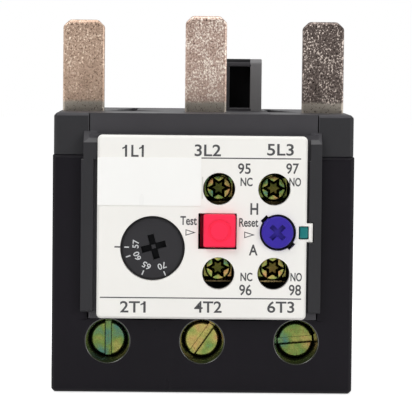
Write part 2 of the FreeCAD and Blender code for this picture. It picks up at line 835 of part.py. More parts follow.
def phase_blade(name, place, phase):
    """A line-side blade with its foot, which steps across to the phase's strip."""
    blade = new_body("blade")
    rise = " + middle_rise" if name == "middle" else ""
    half = "blade_width / 2"
    top = "blade_top" + rise
    outline = [(place + " - " + half, "foot_bottom"), (place + " + " + half, "foot_bottom"),
               (place + " + " + half, top + " - blade_corner"), (place + " + " + half + " - blade_corner", top),
               (place + " - " + half + " + blade_corner", top), (place + " - " + half, top + " - blade_corner")]
    back = "-blade_front + blade_thick"
    base = pad_slab(blade, lambda sketch: polygon(sketch, outline), "-blade_front", back)
    high = value_of("blade_top") + (value_of("middle_rise") if rise else 0.0)
    dressed(blade, "Chamfer", base, "blade_lead", lambda edge: near(edge.CenterOfMass.z, high)
            and runs_along(edge, "x"))
    left_inset = " + foot_inset" if name == "left" else ""
    right_inset = " - foot_inset" if name == "right" else ""
    left = place + " - " + half + left_inset
    right = place + " + " + half + right_inset
    foot = [(left, "-blade_front"), (right, "-blade_front"), (right, back),
            (phase + " + foot_width / 2", "-foot_turn"),
            (phase + " + foot_width / 2", "foot_back"), (phase + " - foot_width / 2", "foot_back"),
            (phase + " - foot_width / 2", "-foot_turn"), (left, back)]
    pad_plan(blade, lambda sketch: polygon(sketch, foot), "foot_bottom", "foot_bottom + foot_thick")
    keep(blade, name + "_phase_blade")


def load_bar(name, phase):
    """The load-side bar: down through the clamp, and back over the floor to the winding's lead."""
    bar = new_body("load_bar")
    profile = [("-bar_y", "load_bar_bottom"), ("-bar_y + load_bar_thick", "load_bar_bottom"),
               ("-bar_y + load_bar_thick", "load_bar_top - load_bar_thick"),
               ("foot_back", "load_bar_top - load_bar_thick"), ("foot_back", "load_bar_top"),
               ("-bar_y", "load_bar_top")]
    base = pad_side(bar, lambda sketch: polygon(sketch, profile), phase + " - load_bar_width / 2",
                    phase + " + load_bar_width / 2")
    front, high = -value_of("bar_y"), value_of("load_bar_top")
    dressed(bar, "Fillet", base, "load_bar_thick * 0.9", lambda edge: near(edge.CenterOfMass.y, front)
            and near(edge.CenterOfMass.z, high))
    keep(bar, name + "_load_bar")


def bimetal(name, phase):
    """A bimetal strip that hangs from the blade's foot."""
    strip = block((phase + " - bimetal_thick / 2", phase + " + bimetal_thick / 2"),
                  ("bimetal_y - strip_width / 2", "bimetal_y + strip_width / 2"),
                  ("bimetal_bottom", "foot_bottom - seat_gap"))
    keep(strip, name + "_bimetal_strip")


def heater(name, phase):
    """A flat tape wound round the strip, with a lead up to the foot and one down to the load bar."""
    wide, deep, tape = value_of("coil_half_width"), value_of("coil_half_depth"), value_of("coil_tape")
    width, pitch, low = value_of("coil_width"), value_of("coil_pitch"), value_of("coil_bottom")
    corners = [(wide, deep), (-wide, deep), (-wide, -deep), (wide, -deep)]
    sides = len(corners)
    count = int(value_of("coil_turns")) * sides
    climb = pitch / sides
    points = [FreeCAD.Vector(*corners[n % sides], climb * n) for n in range(count + 1)]
    top = value_of("foot_bottom") - low
    floor = value_of("load_bar_top") - low
    winding = swept(points, tape, width)
    lead = FreeCAD.Vector(wide - tape / 2, deep - width / 2, 0)
    lower = Part.makeBox(tape, width, -floor, lead + FreeCAD.Vector(0, 0, floor))
    upper = Part.makeBox(tape, width, top - climb * count, lead + FreeCAD.Vector(0, 0, climb * count))
    item = doc.addObject("Part::Feature", "heater")
    item.Shape = winding.fuse([lower, upper]).removeSplitter()
    bind(item, Placement__Base__x=phase, Placement__Base__y="bimetal_y", Placement__Base__z="coil_bottom")
    keep(item, name + "_heater_winding")


def clamp_cage(name, phase):
    """The box clamp that the screw draws forward, with its threaded front wall."""
    inner_back = "-bar_y + load_bar_thick + cage_opening"
    low, high = "terminal_z - cage_height / 2", "terminal_z + cage_height / 2"
    half = "cage_width / 2"
    outer = block((phase + " - " + half, phase + " + " + half),
                  ("-cage_front", inner_back + " + cage_wall"), (low, high))
    outer = rounded(outer, "edge_round", lambda edge: runs_along(edge, "z"), "Part::Chamfer")
    inner = block((phase + " - " + half + " + cage_wall", phase + " + " + half + " - cage_wall"),
                  ("-cage_front + cage_front_wall", inner_back), (low + " - 1", high + " + 1"))
    hole = rod("Y", "screw_shank + running_gap", "-cage_front - 1", "-cage_front + cage_front_wall + 1",
               x=phase, z="terminal_z")
    keep(cut(outer, inner, hole), name + "_clamp_cage")


SLOT_TURNS = {"left": 90.0, "middle": 55.0, "right": 5.0}


def terminal_screw(name, phase):
    """A slotted clamp screw, free to turn between its ledge and the load bar."""
    screw = new_body("terminal_screw")
    face, seat, tip = "-screw_face", "-screw_face + screw_head_thick", "-bar_y - running_gap"
    turned(screw, [("0", face), ("screw_head - head_chamfer", face), ("screw_head", face + " + head_chamfer"),
                   ("screw_head", seat), ("screw_shank", seat), ("screw_shank", tip + " - 2 * head_chamfer"),
                   ("screw_shank - 2 * head_chamfer", tip), ("0", tip)])
    across, up = ("-screw_head - 1", "screw_head + 1"), ("-slot_width / 2", "slot_width / 2")
    pocket_front(screw, lambda s: oblong(s, across, up), face, "slot_depth")
    turn = FreeCAD.Rotation(FreeCAD.Vector(0, 1, 0), -SLOT_TURNS[name])
    screw.Placement = FreeCAD.Placement(FreeCAD.Vector(), turn)
    bind(screw, Placement__Base__x=phase, Placement__Base__z="terminal_z")
    keep(screw, name + "_terminal_screw")


# Thermal slides

def slide_bar(name, low, side, gap):
    """A slide with one finger beside each strip."""
    reach = "(body_width / 2 - case_wall - push_travel - seat_gap)"
    bar = block(("-" + reach, reach), ("-bar_front", "bar_back"), (low, low + " + bar_thick"))
    fingers = []
    for phase in PHASES.values():
        start = "%s %s (bimetal_thick / 2 + %s)" % (phase, side, gap)
        end = "%s %s finger_thick" % (start, side)
        span = (end, start) if side == "-" else (start, end)
        fingers.append(block(span, ("bar_back - 1", "finger_back"), (low, low + " + bar_thick")))
    return fuse(bar, *fingers)


def push_slide():
    """The lower slide, which the strips push when the load is too high."""
    bar = slide_bar("push", "push_bottom", "-", "finger_gap")
    hole = rod("Z", "rod_pin + running_gap", "push_bottom - 1", "push_bottom + bar_thick + 1",
               x="rod_x", y="-rod_pin_front")
    keep(cut(bar, hole), "push_slide")


def difference_slide():
    """The upper slide, which a cold strip holds back when one phase is lost."""
    bar = slide_bar("difference", "difference_bottom", "+", "return_gap")
    low, high = "difference_bottom - 1", "difference_bottom + bar_thick + 1"
    clear = "(rod_pin + running_gap)"
    way = block(("rod_x - %s - phase_loss - seam_gap" % clear, "rod_x + %s + seam_gap" % clear),
                ("-rod_pin_front - %s - seam_gap / 2" % clear, "-rod_pin_front + %s + seam_gap / 2" % clear),
                (low, high))
    seat = block(("rod_x - " + clear, "rod_x + " + clear),
                 ("rod_pin_back - %s - seam_gap" % clear, "rod_pin_back + " + clear), (low, high))
    keep(cut(bar, way, seat), "difference_slide")


def difference_lever():
    """The lever on both slides whose tip meets the compensation strip."""
    plate = block(("rod_x - rod_width / 2", "rod_x + rod_width / 2"), ("-rod_front", "bar_back"),
                  ("rod_bottom", "rod_bottom + rod_width"))
    top = "rod_bottom + seam_gap / 2"
    pivot = rod("Z", "rod_pin", "push_bottom + seam_gap", top, x="rod_x", y="-rod_pin_front")
    follower = rod("Z", "rod_pin", "difference_bottom + seam_gap", top, x="rod_x", y="rod_pin_back")
    keep(fuse(plate, pivot, follower), "difference_lever")


# Trip lever and current setting

def trip_lever():
    """The short lever on its own pin; its rear end holds the compensation strip."""
    half = "lever_width / 2"
    high = "lever_bottom + lever_height"
    arm = block(("-lever_x - " + half, "-lever_x + " + half), ("-lever_front", "-lever_y + lever_width"),
                ("lever_bottom", high))
    past = "guide_gap - lug_thick + 2 * running_gap"
    pin = rod("Z", "lever_pin", "lever_bottom - " + past, "%s + guide_gap + lug_thick - 2 * running_gap" % high,
              x="-lever_x", y="-lever_y")
    hub = rod("Z", "lever_hub", "lever_bottom", high, x="-lever_x", y="-lever_y")
    keep(fuse(arm, pin, hub), "trip_lever")


def compensation_strip():
    """The thin bimetal that cancels the temperature of the room."""
    strip = block(("-lever_x - strip_thick / 2", "-lever_x + strip_thick / 2"),
                  ("-lever_y + lever_width", "-strip_end"), ("lever_bottom", "lever_bottom + lever_height"))
    keep(strip, "compensation_strip")


def adjusting_slide():
    """The frame round the dial's eccentric, with two lugs that hold the trip lever's pin."""
    front, back = "-slide_front", "-slide_front + slide_thick"
    window_x = "frame_half_width"
    window_z = "frame_half_height"
    frame = block(("cam_x - frame_rim - " + window_x, "cam_x + frame_rim + " + window_x), (front, back),
                  ("dial_centre_z - frame_rim - " + window_z, "dial_centre_z + frame_rim + " + window_z))
    window = block(("cam_x - " + window_x, "cam_x + " + window_x), (front + " - 1", back + " + 1"),
                   ("dial_centre_z - " + window_z, "dial_centre_z + " + window_z))
    lug_x = ("-lever_x - 2 * lug_half", "-lever_x + lug_half")
    lug_y = (front, "-base_back - base_thick - guide_gap")
    low = "lever_bottom - guide_gap"
    high = "lever_bottom + lever_height + guide_gap"
    upper = block(lug_x, lug_y, (high, high + " + lug_thick"))
    lower = block(lug_x, lug_y, (low + " - lug_thick", low))
    web = block((lug_x[0], "-lever_x - lug_half"), (front, back), (low + " - lug_thick", high + " + lug_thick"))
    hole = rod("Z", "lever_pin + running_gap", low + " - lug_thick - 1", high + " + lug_thick + 1",
               x="-lever_x", y="-lever_y")
    keep(cut(fuse(cut(frame, window), upper, lower, web), hole), "adjusting_slide")


def setting_dial():
    """The current dial: slotted knob, shaft, eccentric and rear journal in one turned piece."""
    dial = new_body("dial")
    face, back = "-dial_face", "-dial_face + dial_thick"
    skirt = "dial_radius + dial_flange"
    cam_front = "-slide_front + 2 * running_gap"
    cam_back = "-slide_front + slide_thick - 2 * running_gap"
    turned(dial, [("0", face), ("dial_radius - dial_rim", face), ("dial_radius", face + " + dial_rim"),
                  ("dial_radius", "-flange_front"), (skirt, "-flange_front"), (skirt, back),
                  ("dial_shaft", back), ("dial_shaft", cam_front), ("dial_journal", cam_front),
                  ("dial_journal", "-base_back"), ("0", "-base_back")])
    throw_x = "cam_throw * cos(cam_start * 1deg)"
    throw_z = "-cam_throw * sin(cam_start * 1deg)"
    pad_slab(dial, lambda s: ring(s, throw_x, throw_z, "cam_radius"), cam_front, cam_back)
    cross(dial, face, "dial_cross_length", "dial_cross_width", "dial_cross_depth", "dial_cross_turn")
    bind(dial, Placement__Base__x="-dial_centre_x", Placement__Base__z="dial_centre_z")
    keep(dial, "setting_dial")


def cross(owner, face, length, width, depth, turn):
    """Sink a cross recess into a face, turned counter-clockwise as seen from the front."""
    a, b = "(%s) / 2" % length, "(%s) / 2" % width
    corners = [(a, "-" + b), (a, b), (b, b), (b, a), ("-" + b, a), ("-" + b, b), ("-" + a, b), ("-" + a, "-" + b),
               ("-" + b, "-" + b), ("-" + b, "-" + a), (b, "-" + a), (b, "-" + b)]
    angle = "%s * 1deg" % turn
    turned_corners = [("(%s) * cos(%s) - (%s) * sin(%s)" % (x, angle, z, angle),
                       "(%s) * sin(%s) + (%s) * cos(%s)" % (x, angle, z, angle)) for x, z in corners]
    pocket_front(owner, lambda s: polygon(s, turned_corners), face, depth)


# Buttons and flag

def test_button():
    """The square test button with its retaining flange."""
    button = new_body("test_button")
    x, z = ("-test_width / 2", "test_width / 2"), ("-test_height / 2", "test_height / 2")
    base = pad_slab(button, lambda s: oblong(s, x, z), "-test_front", "-test_back")
    face = value_of("-test_front")
    dressed(button, "Chamfer", base, "button_round / 2",
            lambda edge: near(edge.CenterOfMass.y, face) or runs_along(edge, "y"))
    lip_x = (x[0] + " - test_flange", x[1] + " + test_flange")
    lip_z = (z[0] + " - test_flange + guide_gap", z[1] + " + test_flange - guide_gap")
    pad_slab(button, lambda s: oblong(s, lip_x, lip_z), "-flange_front", "-flange_front + test_flange_thick")
    groove = lambda s: (ring(s, "0", "0", "test_ring"), ring(s, "0", "0", "test_ring - test_ring_width"))
    pocket_front(button, groove, "-test_front", "test_ring_depth")
    bind(button, Placement__Base__x="test_x", Placement__Base__z="test_z")
    keep(button, "test_button")


def reset_button():
    """The round reset button: cap with a pointer tab and a cross recess, and a square stem."""
    button = new_body("reset_button")
    front, back = "-reset_front", "-cover_face - 2 * running_gap"
    face = value_of(front)
    base = pad_slab(button, lambda s: ring(s, "0", "0", "reset_radius"), front, back)
    dressed(button, "Chamfer", base, "button_round / 2", lambda edge: near(edge.CenterOfMass.y, face))
    start, reach = "reset_radius / 2", "reset_radius + reset_tab_reach"
    side = "reset_tab_width / 2"
    tab = [(start, "-" + side), (reach, "-" + side), (reach, side), (start, side)]
    tab = [("-((%s) + (%s)) * sqrt(0.5)" % (u, v), "((%s) - (%s)) * sqrt(0.5)" % (u, v)) for u, v in tab]
    pad_slab(button, lambda s: polygon(s, tab), front + " + button_round", back)
    stem = ("-reset_stem / 2", "reset_stem / 2")
    pad_slab(button, lambda s: oblong(s, stem, stem), back, "-reset_end")
    cross(button, front, "reset_cross_length", "reset_cross_width", "reset_cross_depth", "45")
    bind(button, Placement__Base__x="reset_x", Placement__Base__z="reset_z")
    keep(button, "reset_button")


def reset_selector():
    """The cup behind the cover that the reset button turns between manual and automatic."""
    cup = new_body("cup")
    front, end = "-cover_face + cover_wall + seam_gap", "-reset_end"
    floor = "-reset_end - sleeve_floor"
    turned(cup, [("sleeve_bore", front), ("sleeve_radius", front), ("sleeve_radius", end),
                 ("0", end), ("0", floor), ("sleeve_bore", floor)])
    hole = ("-reset_stem / 2 - 2 * running_gap", "reset_stem / 2 + 2 * running_gap")
    pocket_front(cup, lambda s: oblong(s, hole, hole), floor, "sleeve_floor + 1")
    bind(cup, Placement__Base__x="reset_x", Placement__Base__z="reset_z")
    keep(cup, "reset_selector")


def trip_flag():
    """The indicator bar that the rocker pushes out."""
    flag = block(("flag_x - flag_width / 2", "flag_x + flag_width / 2"),
                 ("-flag_front", "-rocker_right_face - seat_gap"),
                 ("flag_z - flag_height / 2", "flag_z + flag_height / 2"))
    front = -value_of("flag_front")
    flag = rounded(flag, "flag_round", lambda edge: near(edge.CenterOfMass.y, front), "Part::Chamfer")
    keep(flag, "trip_indicator")


SPRING_SIDES = 6


def coil_spring(label, radius, front, back, x, z):
    """A compression spring along Y between two places, in straight runs round its axis."""
    wire = value_of("spring_wire")
    start = value_of(front) + wire / 2
    length = value_of(back) - wire / 2 - start
    count = int(value_of("spring_turns")) * SPRING_SIDES
    turn = 2 * math.pi / SPRING_SIDES
    wide = value_of(radius)
    points = [FreeCAD.Vector(wide * math.cos(turn * n), wide * math.sin(turn * n), length * n / count)
              for n in range(count + 1)]
    item = doc.addObject("Part::Feature", "spring")
    item.Shape = swept(points, wire, wire)
    item.Placement = FreeCAD.Placement(FreeCAD.Vector(), TURNS["Y"])
    bind(item, Placement__Base__x=x, Placement__Base__z=z, Placement__Base__y=front + " + spring_wire / 2")
    keep(item, label)


def springs():
    """The return springs of both buttons."""
    coil_spring("test_spring", "test_coil", "-test_back + 2 * running_gap", "-spring_post",
                "test_spring_x", "test_spring_z")
    coil_spring("reset_spring", "reset_coil", "-cover_face", "-reset_end - sleeve_floor - 2 * running_gap",
                "reset_x", "reset_z")


# Auxiliary contacts

def aux_terminal(name, x, z):
    """A contact plate with a tapped hole and a tongue towards the bridge."""
    plate = new_body("aux_plate")
    upper = z == "aux_high"
    sign = "-" if upper else "+"
    half, tall, tongue = "aux_plate_width / 2", "aux_plate_height / 2", "tongue_width / 2"
    end = "middle_z %s tongue_gap / 2" % ("+" if upper else "-")
    near_side = "%s %s %s" % (z, sign, tall)
    far_side = "%s %s %s" % (z, "+" if upper else "-", tall)
    outline = [(x + " - " + half, far_side), (x + " - " + half, near_side), (x + " - " + tongue, near_side),
               (x + " - " + tongue, end), (x + " + " + tongue, end), (x + " + " + tongue, near_side),
               (x + " + " + half, near_side), (x + " + " + half, far_side)]
    pad_slab(plate, lambda s: polygon(s, outline), "-aux_plate_front", "-aux_plate_front + aux_plate_thick")
    pocket_front(plate, lambda s: ring(s, x, z, "aux_shank + running_gap"), "-aux_plate_front",
                 "aux_plate_thick + 1")
    keep(plate, name + "_terminal")


def aux_screw(name, x, z):
    """A cross-recessed terminal screw."""
    screw = new_body("aux_screw")
    face, seat = "-aux_face", "-aux_seat"
    end = seat + " + aux_screw_length"
    turned(screw, [("0", face), ("aux_head - head_chamfer", face), ("aux_head", face + " + head_chamfer"),
                   ("aux_head", seat), ("aux_shank", seat), ("aux_shank", end + " - head_chamfer"),
                   ("aux_shank - head_chamfer", end), ("0", end)])
    cross(screw, face, "aux_cross_length", "aux_cross_width", "aux_recess", "0")
    bind(screw, Placement__Base__x=x, Placement__Base__z=z)
    keep(screw, name + "_terminal_screw")


def saddle_washer(name, x, z):
    """A square clamping washer with turned-down edges."""
    washer = new_body("washer")
    front = "-aux_seat + running_gap"
    back = front + " + washer_thick"
    half = "washer_side / 2"
    low, high = z + " - " + half, z + " + " + half
    bend_low, bend_high = low + " + washer_thick", high + " - washer_thick"
    profile = [(back + " + washer_dish", low), (front + " + washer_dish", low), (front, bend_low),
               (front, bend_high), (front + " + washer_dish", high), (back + " + washer_dish", high),
               (back, bend_high), (back, bend_low)]
    pad_side(washer, lambda s: polygon(s, profile), x + " - " + half, x + " + " + half)
    pocket_front(washer, lambda s: ring(s, x, z, "aux_shank + running_gap"), front,
                 "washer_thick + washer_dish + 1")
    keep(washer, name + "_saddle_washer")


def contact_rocker():
    """The rocker on its upright pin: left arm to the opening bridge, right arm to the closing one."""
    outline = new_body("rocker_arms")
    low, high = "middle_z - rocker_height / 2", "middle_z + rocker_height / 2"
    corners = [("-rocker_left", "-rocker_front"), ("rocker_x - rocker_pin", "-rocker_front"),
               ("rocker_x + rocker_pin", "-rocker_right_face"), ("rocker_right", "-rocker_right_face"),
               ("rocker_right", "-rocker_back"), ("-rocker_left", "-rocker_back")]
    pad_plan(outline, lambda s: polygon(s, corners), low, high)
    hub_low, hub_high = "middle_z - rocker_hub_height / 2", "middle_z + rocker_hub_height / 2"
    hub = rod("Z", "rocker_hub", hub_low, hub_high, x="rocker_x", y="-rocker_y")
    leg_x = ("-rocker_left", "-rocker_left + leg_width")
    leg = block(leg_x, ("-leg_front", "-leg_back"), ("leg_bottom", high))
    link = block(leg_x, ("-rocker_back - 2 * guide_gap", "-leg_back"), (low, high))
    bore = rod("Z", "rocker_pin + running_gap", hub_low + " - 1", hub_high + " + 1",
               x="rocker_x", y="-rocker_y")
    keep(cut(fuse(outline, hub, leg, link), bore), "contact_rocker")


def bridge(label, x, back):
    """A springy contact bridge across two tongues."""
    item = block((x + " - bridge_width / 2", x + " + bridge_width / 2"), (back + " - bridge_thick", back),
                 ("middle_z - bridge_length / 2", "middle_z + bridge_length / 2"))
    keep(item, label)



def rocker_pin():
    """The upright pin under the rocker."""
    pin = rod("Z", "rocker_pin", "middle_z - lug_out - lug_thick", "middle_z + lug_out + lug_thick",
              x="rocker_x", y="-rocker_y")
    keep(pin, "rocker_pin")


def mechanism_base():
    """The rear wall of the mechanism box, with posts, lugs, ribs and bearings for what it carries."""
    half = "(cover_width / 2 - skirt_wall - seam_gap / 2)"
    front, back = "-base_back - base_thick", "-base_back"
    wall = block(("-" + half, half), (front, back),
                 ("cover_bottom + skirt_wall + seam_gap / 2", "plate_top + seam_gap / 2 - skirt_wall"))
    parts = [wall]
    plate_back = "-aux_plate_front + aux_plate_thick"
    for x, z in AUX.values():
        parts.append(block((x + " - post_width / 2", x + " + post_width / 2"), (plate_back, back),
                           (z + " - post_width / 2", z + " + post_width / 2")))
    lug_x, lug_y = ("rocker_x - pin_lug", "rocker_x + pin_lug"), ("-rocker_y - pin_lug", back)
    parts.append(block(lug_x, lug_y, ("middle_z - lug_out - lug_thick", "middle_z - lug_out")))
    parts.append(block(lug_x, lug_y, ("middle_z + lug_out", "middle_z + lug_out + lug_thick")))
    parts.append(rod("Y", "test_coil + spring_wire", "-spring_post", back,
                     x="test_spring_x", z="test_spring_z"))
    rib_y = ("-slide_front", back)
    upper, lower = "dial_centre_z + rib_reach", "dial_centre_z - (rib_reach)"
    parts.append(block(("cam_x - rib_length", "cam_x + rib_length"), rib_y, (upper, upper + " + skirt_wall")))
    parts.append(block(("cam_x - rib_length", "cam_x - rib_stop"), rib_y, (lower + " - skirt_wall", lower)))
    tools = [rod("Y", "dial_journal + running_gap", front + " - 1", back + " + 1",
                 x="-dial_centre_x", z="dial_centre_z"),
             block(("-lever_x - 2 * lug_half - lever_pin", "-lever_x + lug_half"),
                   (front + " - 1", back + " + 1"),
                   ("lever_bottom - 2 * guide_gap", "lever_bottom + lever_height + 2 * guide_gap")),
             rod("Z", "rocker_pin", "middle_z - lug_out - lug_thick - 1", "middle_z + lug_out + lug_thick + 1",
                 x="rocker_x", y="-rocker_y")]
    for x, z in AUX.values():
        tools.append(rod("Y", "aux_shank + guide_gap", "-aux_plate_front",
                         "-aux_seat + aux_screw_length + aux_travel + stop_gap", x=x, z=z))
    keep(cut(fuse(*parts), *tools), "mechanism_base")


def snap_spring():
    """The bowed leaf behind the rocker's right arm."""
    leaf = new_body("leaf")
    radius = "((-base_back - base_thick) - (-rocker_back + seat_gap)) / 2"
    middle = "((-base_back - base_thick) + (-rocker_back + seat_gap)) / 2"
    leaf_rings = lambda s: (ring(s, "snap_x", middle, radius),
                            ring(s, "snap_x", middle, radius + " - bridge_thick"))
    pad_plan(leaf, leaf_rings, "middle_z - snap_width / 2", "middle_z + snap_width / 2")
    keep(leaf, "snap_spring")


def build():
    """Make every piece in order."""
    terminal_housing()
    rear_base()
    top_housing()
    front_cover()
    face_plate()
    mounting_hook()
    case_screws()
    for name, phase in PHASES.items():
        phase_blade(name, BLADES[name], phase)
        load_bar(name, phase)
        bimetal(name, phase)
        heater(name, phase)
        clamp_cage(name, phase)
        terminal_screw(name, phase)
    push_slide()
    difference_slide()
    difference_lever()
    trip_lever()
    compensation_strip()
    adjusting_slide()
    setting_dial()
    test_button()
    reset_button()
    reset_selector()
    trip_flag()
    springs()
    for name, (x, z) in AUX.items():
        aux_terminal(name, x, z)
        aux_screw(name, x, z)
        saddle_washer(name, x, z)
    contact_rocker()
    bridge("opening_bridge", "aux_left", "-rocker_front")
    bridge("closing_bridge", "aux_right", "-rocker_right_face")
    rocker_pin()
    mechanism_base()
    snap_spring()


def check_and_write():
    """Stop on a failed feature or a bad solid, and write one file for each piece."""
    doc.recompute()
    for item in doc.Objects:
        if "Invalid" in item.State or "Error" in item.State:
            raise RuntimeError("%s (%s) failed: %s" % (item.Name, item.Label, item.State))
    os.makedirs("parts", exist_ok=True)
    for item in kept:
        if item.Shape.isNull() or not item.Shape.isValid() or not item.Shape.Solids:
            raise RuntimeError("%s has no valid solid" % item.Label)
        item.Shape.exportStep("parts/%s.step" % item.Label)


build()
check_and_write()
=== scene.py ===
"""A thermal overload relay: its finishes, printed marks, screws, light and camera.

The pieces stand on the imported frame, in metres: +X is right, the face plate looks along -Y, +Z is up.
"""
import logging
import math
from contextlib import contextmanager
from dataclasses import dataclass, field
from enum import Enum
from typing import Callable, Iterable, Iterator, Sequence

import bmesh
import bpy
from mathutils import Matrix, Vector


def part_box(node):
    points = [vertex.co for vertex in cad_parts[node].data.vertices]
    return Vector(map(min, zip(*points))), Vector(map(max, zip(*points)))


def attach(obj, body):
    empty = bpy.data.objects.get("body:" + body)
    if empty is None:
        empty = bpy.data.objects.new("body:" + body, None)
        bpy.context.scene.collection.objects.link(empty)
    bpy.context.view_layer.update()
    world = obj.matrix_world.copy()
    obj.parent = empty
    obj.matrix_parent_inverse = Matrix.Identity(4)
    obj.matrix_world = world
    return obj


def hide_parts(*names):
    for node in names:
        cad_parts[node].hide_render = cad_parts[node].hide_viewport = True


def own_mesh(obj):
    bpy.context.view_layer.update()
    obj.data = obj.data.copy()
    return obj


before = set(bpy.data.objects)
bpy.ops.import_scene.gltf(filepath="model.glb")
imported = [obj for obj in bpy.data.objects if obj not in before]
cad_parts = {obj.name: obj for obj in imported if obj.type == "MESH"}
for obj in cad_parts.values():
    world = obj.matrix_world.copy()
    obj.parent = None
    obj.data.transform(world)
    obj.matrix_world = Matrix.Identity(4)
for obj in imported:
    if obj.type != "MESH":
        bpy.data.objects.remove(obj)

log = logging.getLogger("relay")
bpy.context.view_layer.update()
MM = 0.001
Colour = tuple[float, float, float]
Socket = bpy.types.NodeSocket
Piece = bpy.types.Object
Face = bpy.types.MeshPolygon


class Pole(Enum):
    """The relay's poles; each value starts the names of that pole's nodes."""

    LEFT = "left"
    MIDDLE = "middle"
    RIGHT = "right"


class Contact(Enum):
    """The auxiliary terminals; each value starts the names of that terminal's nodes."""

    CLOSED_UPPER = "nc_upper"
    CLOSED_LOWER = "nc_lower"
    OPEN_UPPER = "no_upper"
    OPEN_LOWER = "no_lower"


# Camera

@dataclass(frozen=True)
class Viewpoint:
    """Where the picture was taken from, and how far the lens reaches."""

    place: Vector = field(default_factory=lambda: Vector((-6.67, -593.5, 75.63)) * MM)
    yaw: float = 0.0131
    pitch: float = 0.0571
    roll: float = 0.01036
    reach: float = 2400.0
    frame_width: float = 412.0
    sensor: float = 36.0
    nearest: float = 0.05
    farthest: float = 10.0

    def axes(self) -> tuple[Vector, Vector, Vector]:
        """The camera's right, up and forward directions."""
        forward = Vector((math.sin(self.yaw) * math.cos(self.pitch),
                          math.cos(self.yaw) * math.cos(self.pitch), -math.sin(self.pitch)))
        level = forward.cross(Vector((0, 0, 1))).normalized()
        upright = level.cross(forward)
        right = level * math.cos(self.roll) + upright * math.sin(self.roll)
        up = upright * math.cos(self.roll) - level * math.sin(self.roll)
        return right, up, forward

    def on_plane(self, across: float, down: float, y: float) -> Vector:
        """The point of an upright plane that a place in the picture shows.

        Args:
            across: pixels from the picture's left edge.
            down: pixels from the picture's top edge.
            y: the plane's distance along Y, in metres.

        Returns:
            The point, in metres.
        """
        right, up, forward = self.axes()
        middle = self.frame_width / 2
        ray = forward + right * ((across - middle) / self.reach) + up * ((middle - down) / self.reach)
        return self.place + ray * ((y - self.place.y) / ray.y)

    def set_up(self) -> None:
        """Make the camera and look through it."""
        right, up, forward = self.axes()
        lens = bpy.data.cameras.new("camera")
        lens.sensor_width = self.sensor
        lens.lens = self.reach / self.frame_width * self.sensor
        lens.clip_start, lens.clip_end = self.nearest, self.farthest
        camera = bpy.data.objects.new("camera", lens)
        turn = Matrix((right, up, -forward)).transposed().to_4x4()
        camera.matrix_world = Matrix.Translation(self.place) @ turn
        bpy.context.scene.collection.objects.link(camera)
        bpy.context.scene.camera = camera


VIEW = Viewpoint()


# Node graphs

